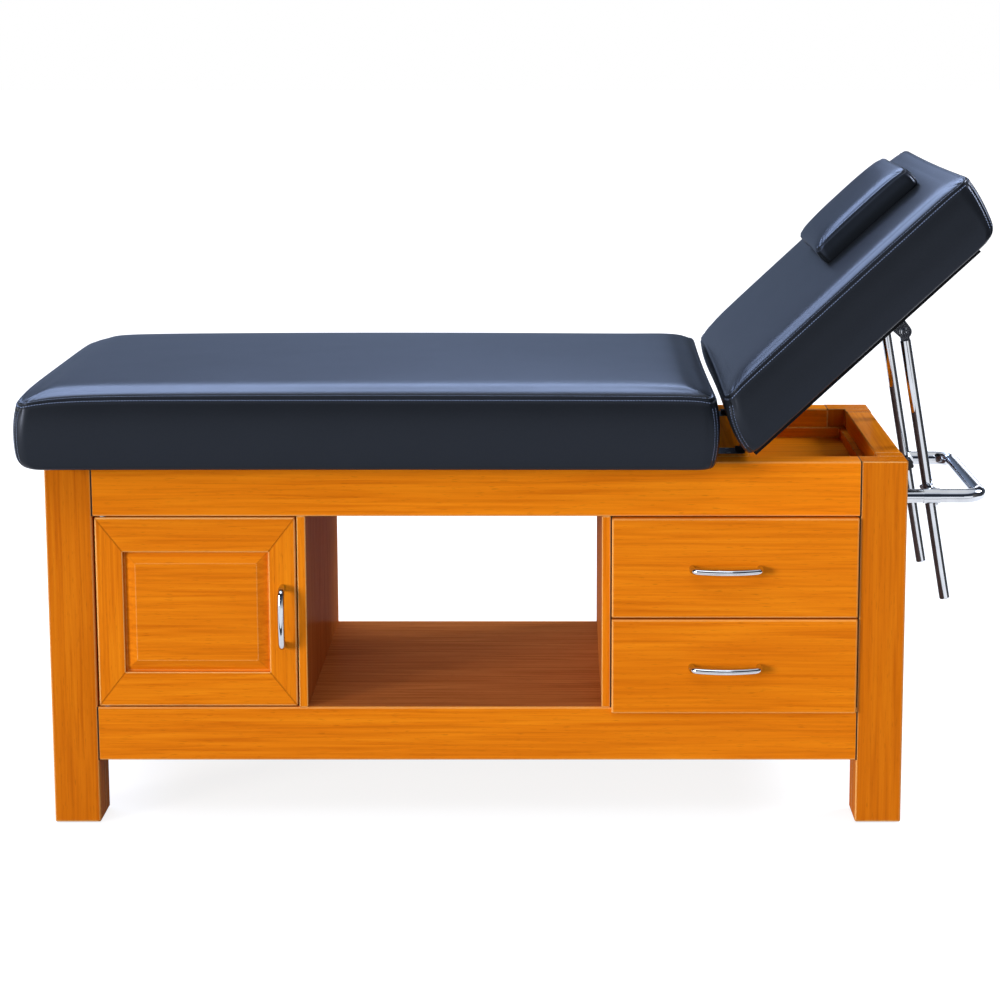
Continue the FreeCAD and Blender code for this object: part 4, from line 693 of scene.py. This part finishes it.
# Camera, where the photograph was taken from: place, lens and sensor in mm, pitch in degrees, the shifts as
# shares of the picture's width and the farthest thing seen in metres
view = {"place": (84.3, -4000.0, 1474.9), "pitch": 7.992, "lens": 78.0, "sensor": 36, "shiftX": -0.0595,
        "shiftY": -0.2, "farthest": 60}
cameraData = bpy.data.cameras.new("photoCamera")
cameraData.sensor_width = view["sensor"]
cameraData.lens = view["lens"]
cameraData.shift_x, cameraData.shift_y = view["shiftX"], view["shiftY"]
cameraData.clip_end = view["farthest"]
camera = bpy.data.objects.new("photoCamera", cameraData)
camera.location = [value / 1000 for value in view["place"]]
camera.rotation_euler = (math.radians(90 - view["pitch"]), 0, 0)
scene.collection.objects.link(camera)
scene.camera = camera

# Lamps: a soft sun from the left front, a panel behind that the rolled edges of the covers mirror, one in
# front and above for the level faces, and a small one for the head end. Sizes and places in metres, the sun's
# size in degrees, power in watts. All point at the middle of the bed.
lamps = {
    "keySun": {"kind": "SUN", "place": (-4.6, -3.9, 1.5), "size": (20, 0), "power": 2.65, "color": "#fff8ee"},
    "rearPanel": {"kind": "AREA", "place": (-1.9, 3.4, 3.6), "size": (7.0, 1.2), "power": 215,
                  "color": "#bcd2ff"},
    "frontPanel": {"kind": "AREA", "place": (-0.8, -2.6, 3.9), "size": (4.0, 1.4), "power": 45,
                   "color": "#eef3ff"},
    "headPanel": {"kind": "AREA", "place": (3.4, 0.8, 2.4), "size": (1.4, 1.4), "power": 120,
                  "color": "#e6eeff"},
}
lampAim = Vector((0.0, 0.0, 0.65))
for lampName, lamp in lamps.items():
    data = bpy.data.lights.new(lampName, lamp["kind"])
    if lamp["kind"] == "SUN":
        data.angle = math.radians(lamp["size"][0])
    else:
        data.shape = "RECTANGLE"
        data.size, data.size_y = lamp["size"]
    data.energy = lamp["power"]
    data.color = linearColor(lamp["color"])[:3]
    item = bpy.data.objects.new(lampName, data)
    item.location = lamp["place"]
    item.rotation_euler = (lampAim - Vector(lamp["place"])).to_track_quat("-Z", "Y").to_euler()
    item.visible_camera = False
    scene.collection.objects.link(item)

# Room: the camera and gloss see white up to the horizon and a dim blue-grey band above it, which gives the
# chrome its dark lines; diffuse light comes from a plainer gradient.
room = {"diffuse": 0.78,
        "seen": [(0.0, "#ffffff"), (0.508, "#ffffff"), (0.53, "#526280"), (0.57, "#343a46"),
                 (0.72, "#262a32"), (0.82, "#565d6a"), (0.88, "#eef4ff"), (1.0, "#ffffff")],
        "lit": [(0.0, "#6e6e6e"), (0.5, "#b9b9bb"), (0.75, "#d4dbe8"), (1.0, "#eef3ff")]}
world = bpy.data.worlds.new("studioRoom")
scene.world = world
world.use_nodes = True
tree = world.node_tree
tree.nodes.clear()
axes = addNode(tree, "SeparateXYZ", {"Vector": addNode(tree, "TexCoord").outputs["Generated"]})
height = addNode(tree, "MapRange", {"Value": axes.outputs["Z"], "From Min": -1.0, "From Max": 1.0})
seen, lit = [addNode(tree, "ValToRGB", {"Fac": height.outputs["Result"]}, stops=room[name])
             for name in ("seen", "lit")]


def seenRays(tree):
    # one for camera, glossy and transmission rays, so that metal mirrors the background that the camera sees
    rays = addNode(tree, "LightPath")
    some = addNode(tree, "Math", {0: rays.outputs["Is Camera Ray"], 1: rays.outputs["Is Glossy Ray"]},
                   operation="MAXIMUM")
    every = addNode(tree, "Math", {0: some.outputs[0], 1: rays.outputs["Is Transmission Ray"]},
                    operation="MAXIMUM")
    return every.outputs[0]


glow = addNode(tree, "Background", {"Color": seen.outputs["Color"], "Strength": 1.0})
light = addNode(tree, "Background", {"Color": lit.outputs["Color"], "Strength": room["diffuse"]})
both = addNode(tree, "MixShader", {0: seenRays(tree), 1: light.outputs[0], 2: glow.outputs[0]})
addNode(tree, "OutputWorld", {"Surface": both.outputs[0]})

# Floor: plain and pale; what the camera sees of it is lifted to white, fully from some way off, and the
# shadow stays. Distances in metres.
floorLook = {"color": 0.32, "near": 0.84, "far": 1.0, "from": 1.2, "to": 4.0, "half": 30}
floorMaterial = bpy.data.materials.new("paleFloor")
floorMaterial.use_nodes = True
tree = floorMaterial.node_tree
tree.nodes.clear()
place = addNode(tree, "TexCoord")
distance = addNode(tree, "VectorMath", {0: place.outputs["Object"]}, operation="LENGTH")
lift = addNode(tree, "MapRange", {"Value": distance.outputs["Value"], "From Min": floorLook["from"],
                                  "From Max": floorLook["to"], "To Min": floorLook["near"],
                                  "To Max": floorLook["far"]})
lifted = addNode(tree, "Math", {0: lift.outputs["Result"], 1: seenRays(tree)}, operation="MULTIPLY")
glow = addNode(tree, "Emission", {"Color": (1, 1, 1, 1), "Strength": lifted.outputs[0]})
matte = addNode(tree, "BsdfDiffuse", {"Color": [floorLook["color"]] * 3 + [1]})
both = addNode(tree, "AddShader", {0: matte.outputs[0], 1: glow.outputs[0]})
addNode(tree, "OutputMaterial", {"Surface": both.outputs[0]})
floorMesh = bpy.data.meshes.new("studioFloor")
edge = floorLook["half"]
floorMesh.from_pydata([(-edge, -edge, 0), (edge, -edge, 0), (edge, edge, 0), (-edge, edge, 0)], [],
                      [(0, 1, 2, 3)])
floorMesh.materials.append(floorMaterial)
floor = bpy.data.objects.new("studioFloor", floorMesh)
scene.collection.objects.link(floor)

# Cards that only gloss sees, each by two corners in metres: black and brown ones give the chrome its dark
# lines, a white one its bright ones, and a blue one behind the bed, darker towards the head end, is what the
# tops of the pads mirror. A glow is one colour, or a ramp over the card's span along the bed.
cardLooks = {"black": {"base": "#121316"}, "brown": {"base": "#3a1a0a"}, "white": {"glow": "#c8d2e4"},
             "blue": {"base": "#000000", "span": (-2.0, 2.0),
                      "ramp": [(0.2, "#7688a8"), (0.42, "#8294b6"), (0.58, "#62748f"), (0.7, "#3c4656")]}}
cards = {"sideCard": ((2.9, -1.8, 0.0), (2.9, 1.6, 1.5), "black"),
         "lowCard": ((-2.2, -0.86, 0.0), (3.0, -0.86, 0.12), "black"),
         "frontCard": ((0.85, -3.0, 0.3), (1.6, -3.0, 0.7), "black"),
         "legCard": ((0.71, -0.27, 0.1), (0.71, 0.27, 0.72), "brown"),
         "whiteCard": ((0.95, 2.5, 0.5), (2.2, 2.5, 1.25), "white"),
         "blueCard": ((-5.0, 2.6, 0.0), (4.0, 2.6, 1.5), "blue")}
cardMaterials = {}
for cardColor, look in cardLooks.items():
    cardMaterials[cardColor], tree, shader = newMaterial(cardColor + "Card")
    if "base" in look:
        shader.inputs["Base Color"].default_value = linearColor(look["base"])
    if "glow" in look:
        shader.inputs["Emission Color"].default_value = linearColor(look["glow"])
        shader.inputs["Emission Strength"].default_value = 1.0
    if "ramp" in look:
        place = addNode(tree, "SeparateXYZ", {"Vector": addNode(tree, "TexCoord").outputs["Object"]})
        along = addNode(tree, "MapRange", {"Value": place.outputs["X"], "From Min": look["span"][0],
                                           "From Max": look["span"][1]})
        ramp = addNode(tree, "ValToRGB", {"Fac": along.outputs["Result"]}, stops=look["ramp"])
        tree.links.new(ramp.outputs["Color"], shader.inputs["Emission Color"])
        shader.inputs["Emission Strength"].default_value = 1.0
for cardName, (low, high, cardColor) in cards.items():
    cardMesh = bpy.data.meshes.new(cardName)
    cardMesh.from_pydata([low, (high[0], high[1], low[2]), high, (low[0], low[1], high[2])], [],
                         [(0, 1, 2, 3)])
    cardMesh.materials.append(cardMaterials[cardColor])
    card = bpy.data.objects.new(cardName, cardMesh)
    card.visible_camera = card.visible_diffuse = card.visible_shadow = False
    scene.collection.objects.link(card)

scene.view_settings.view_transform = "Standard"
print("camera, lamps, floor and cards made")
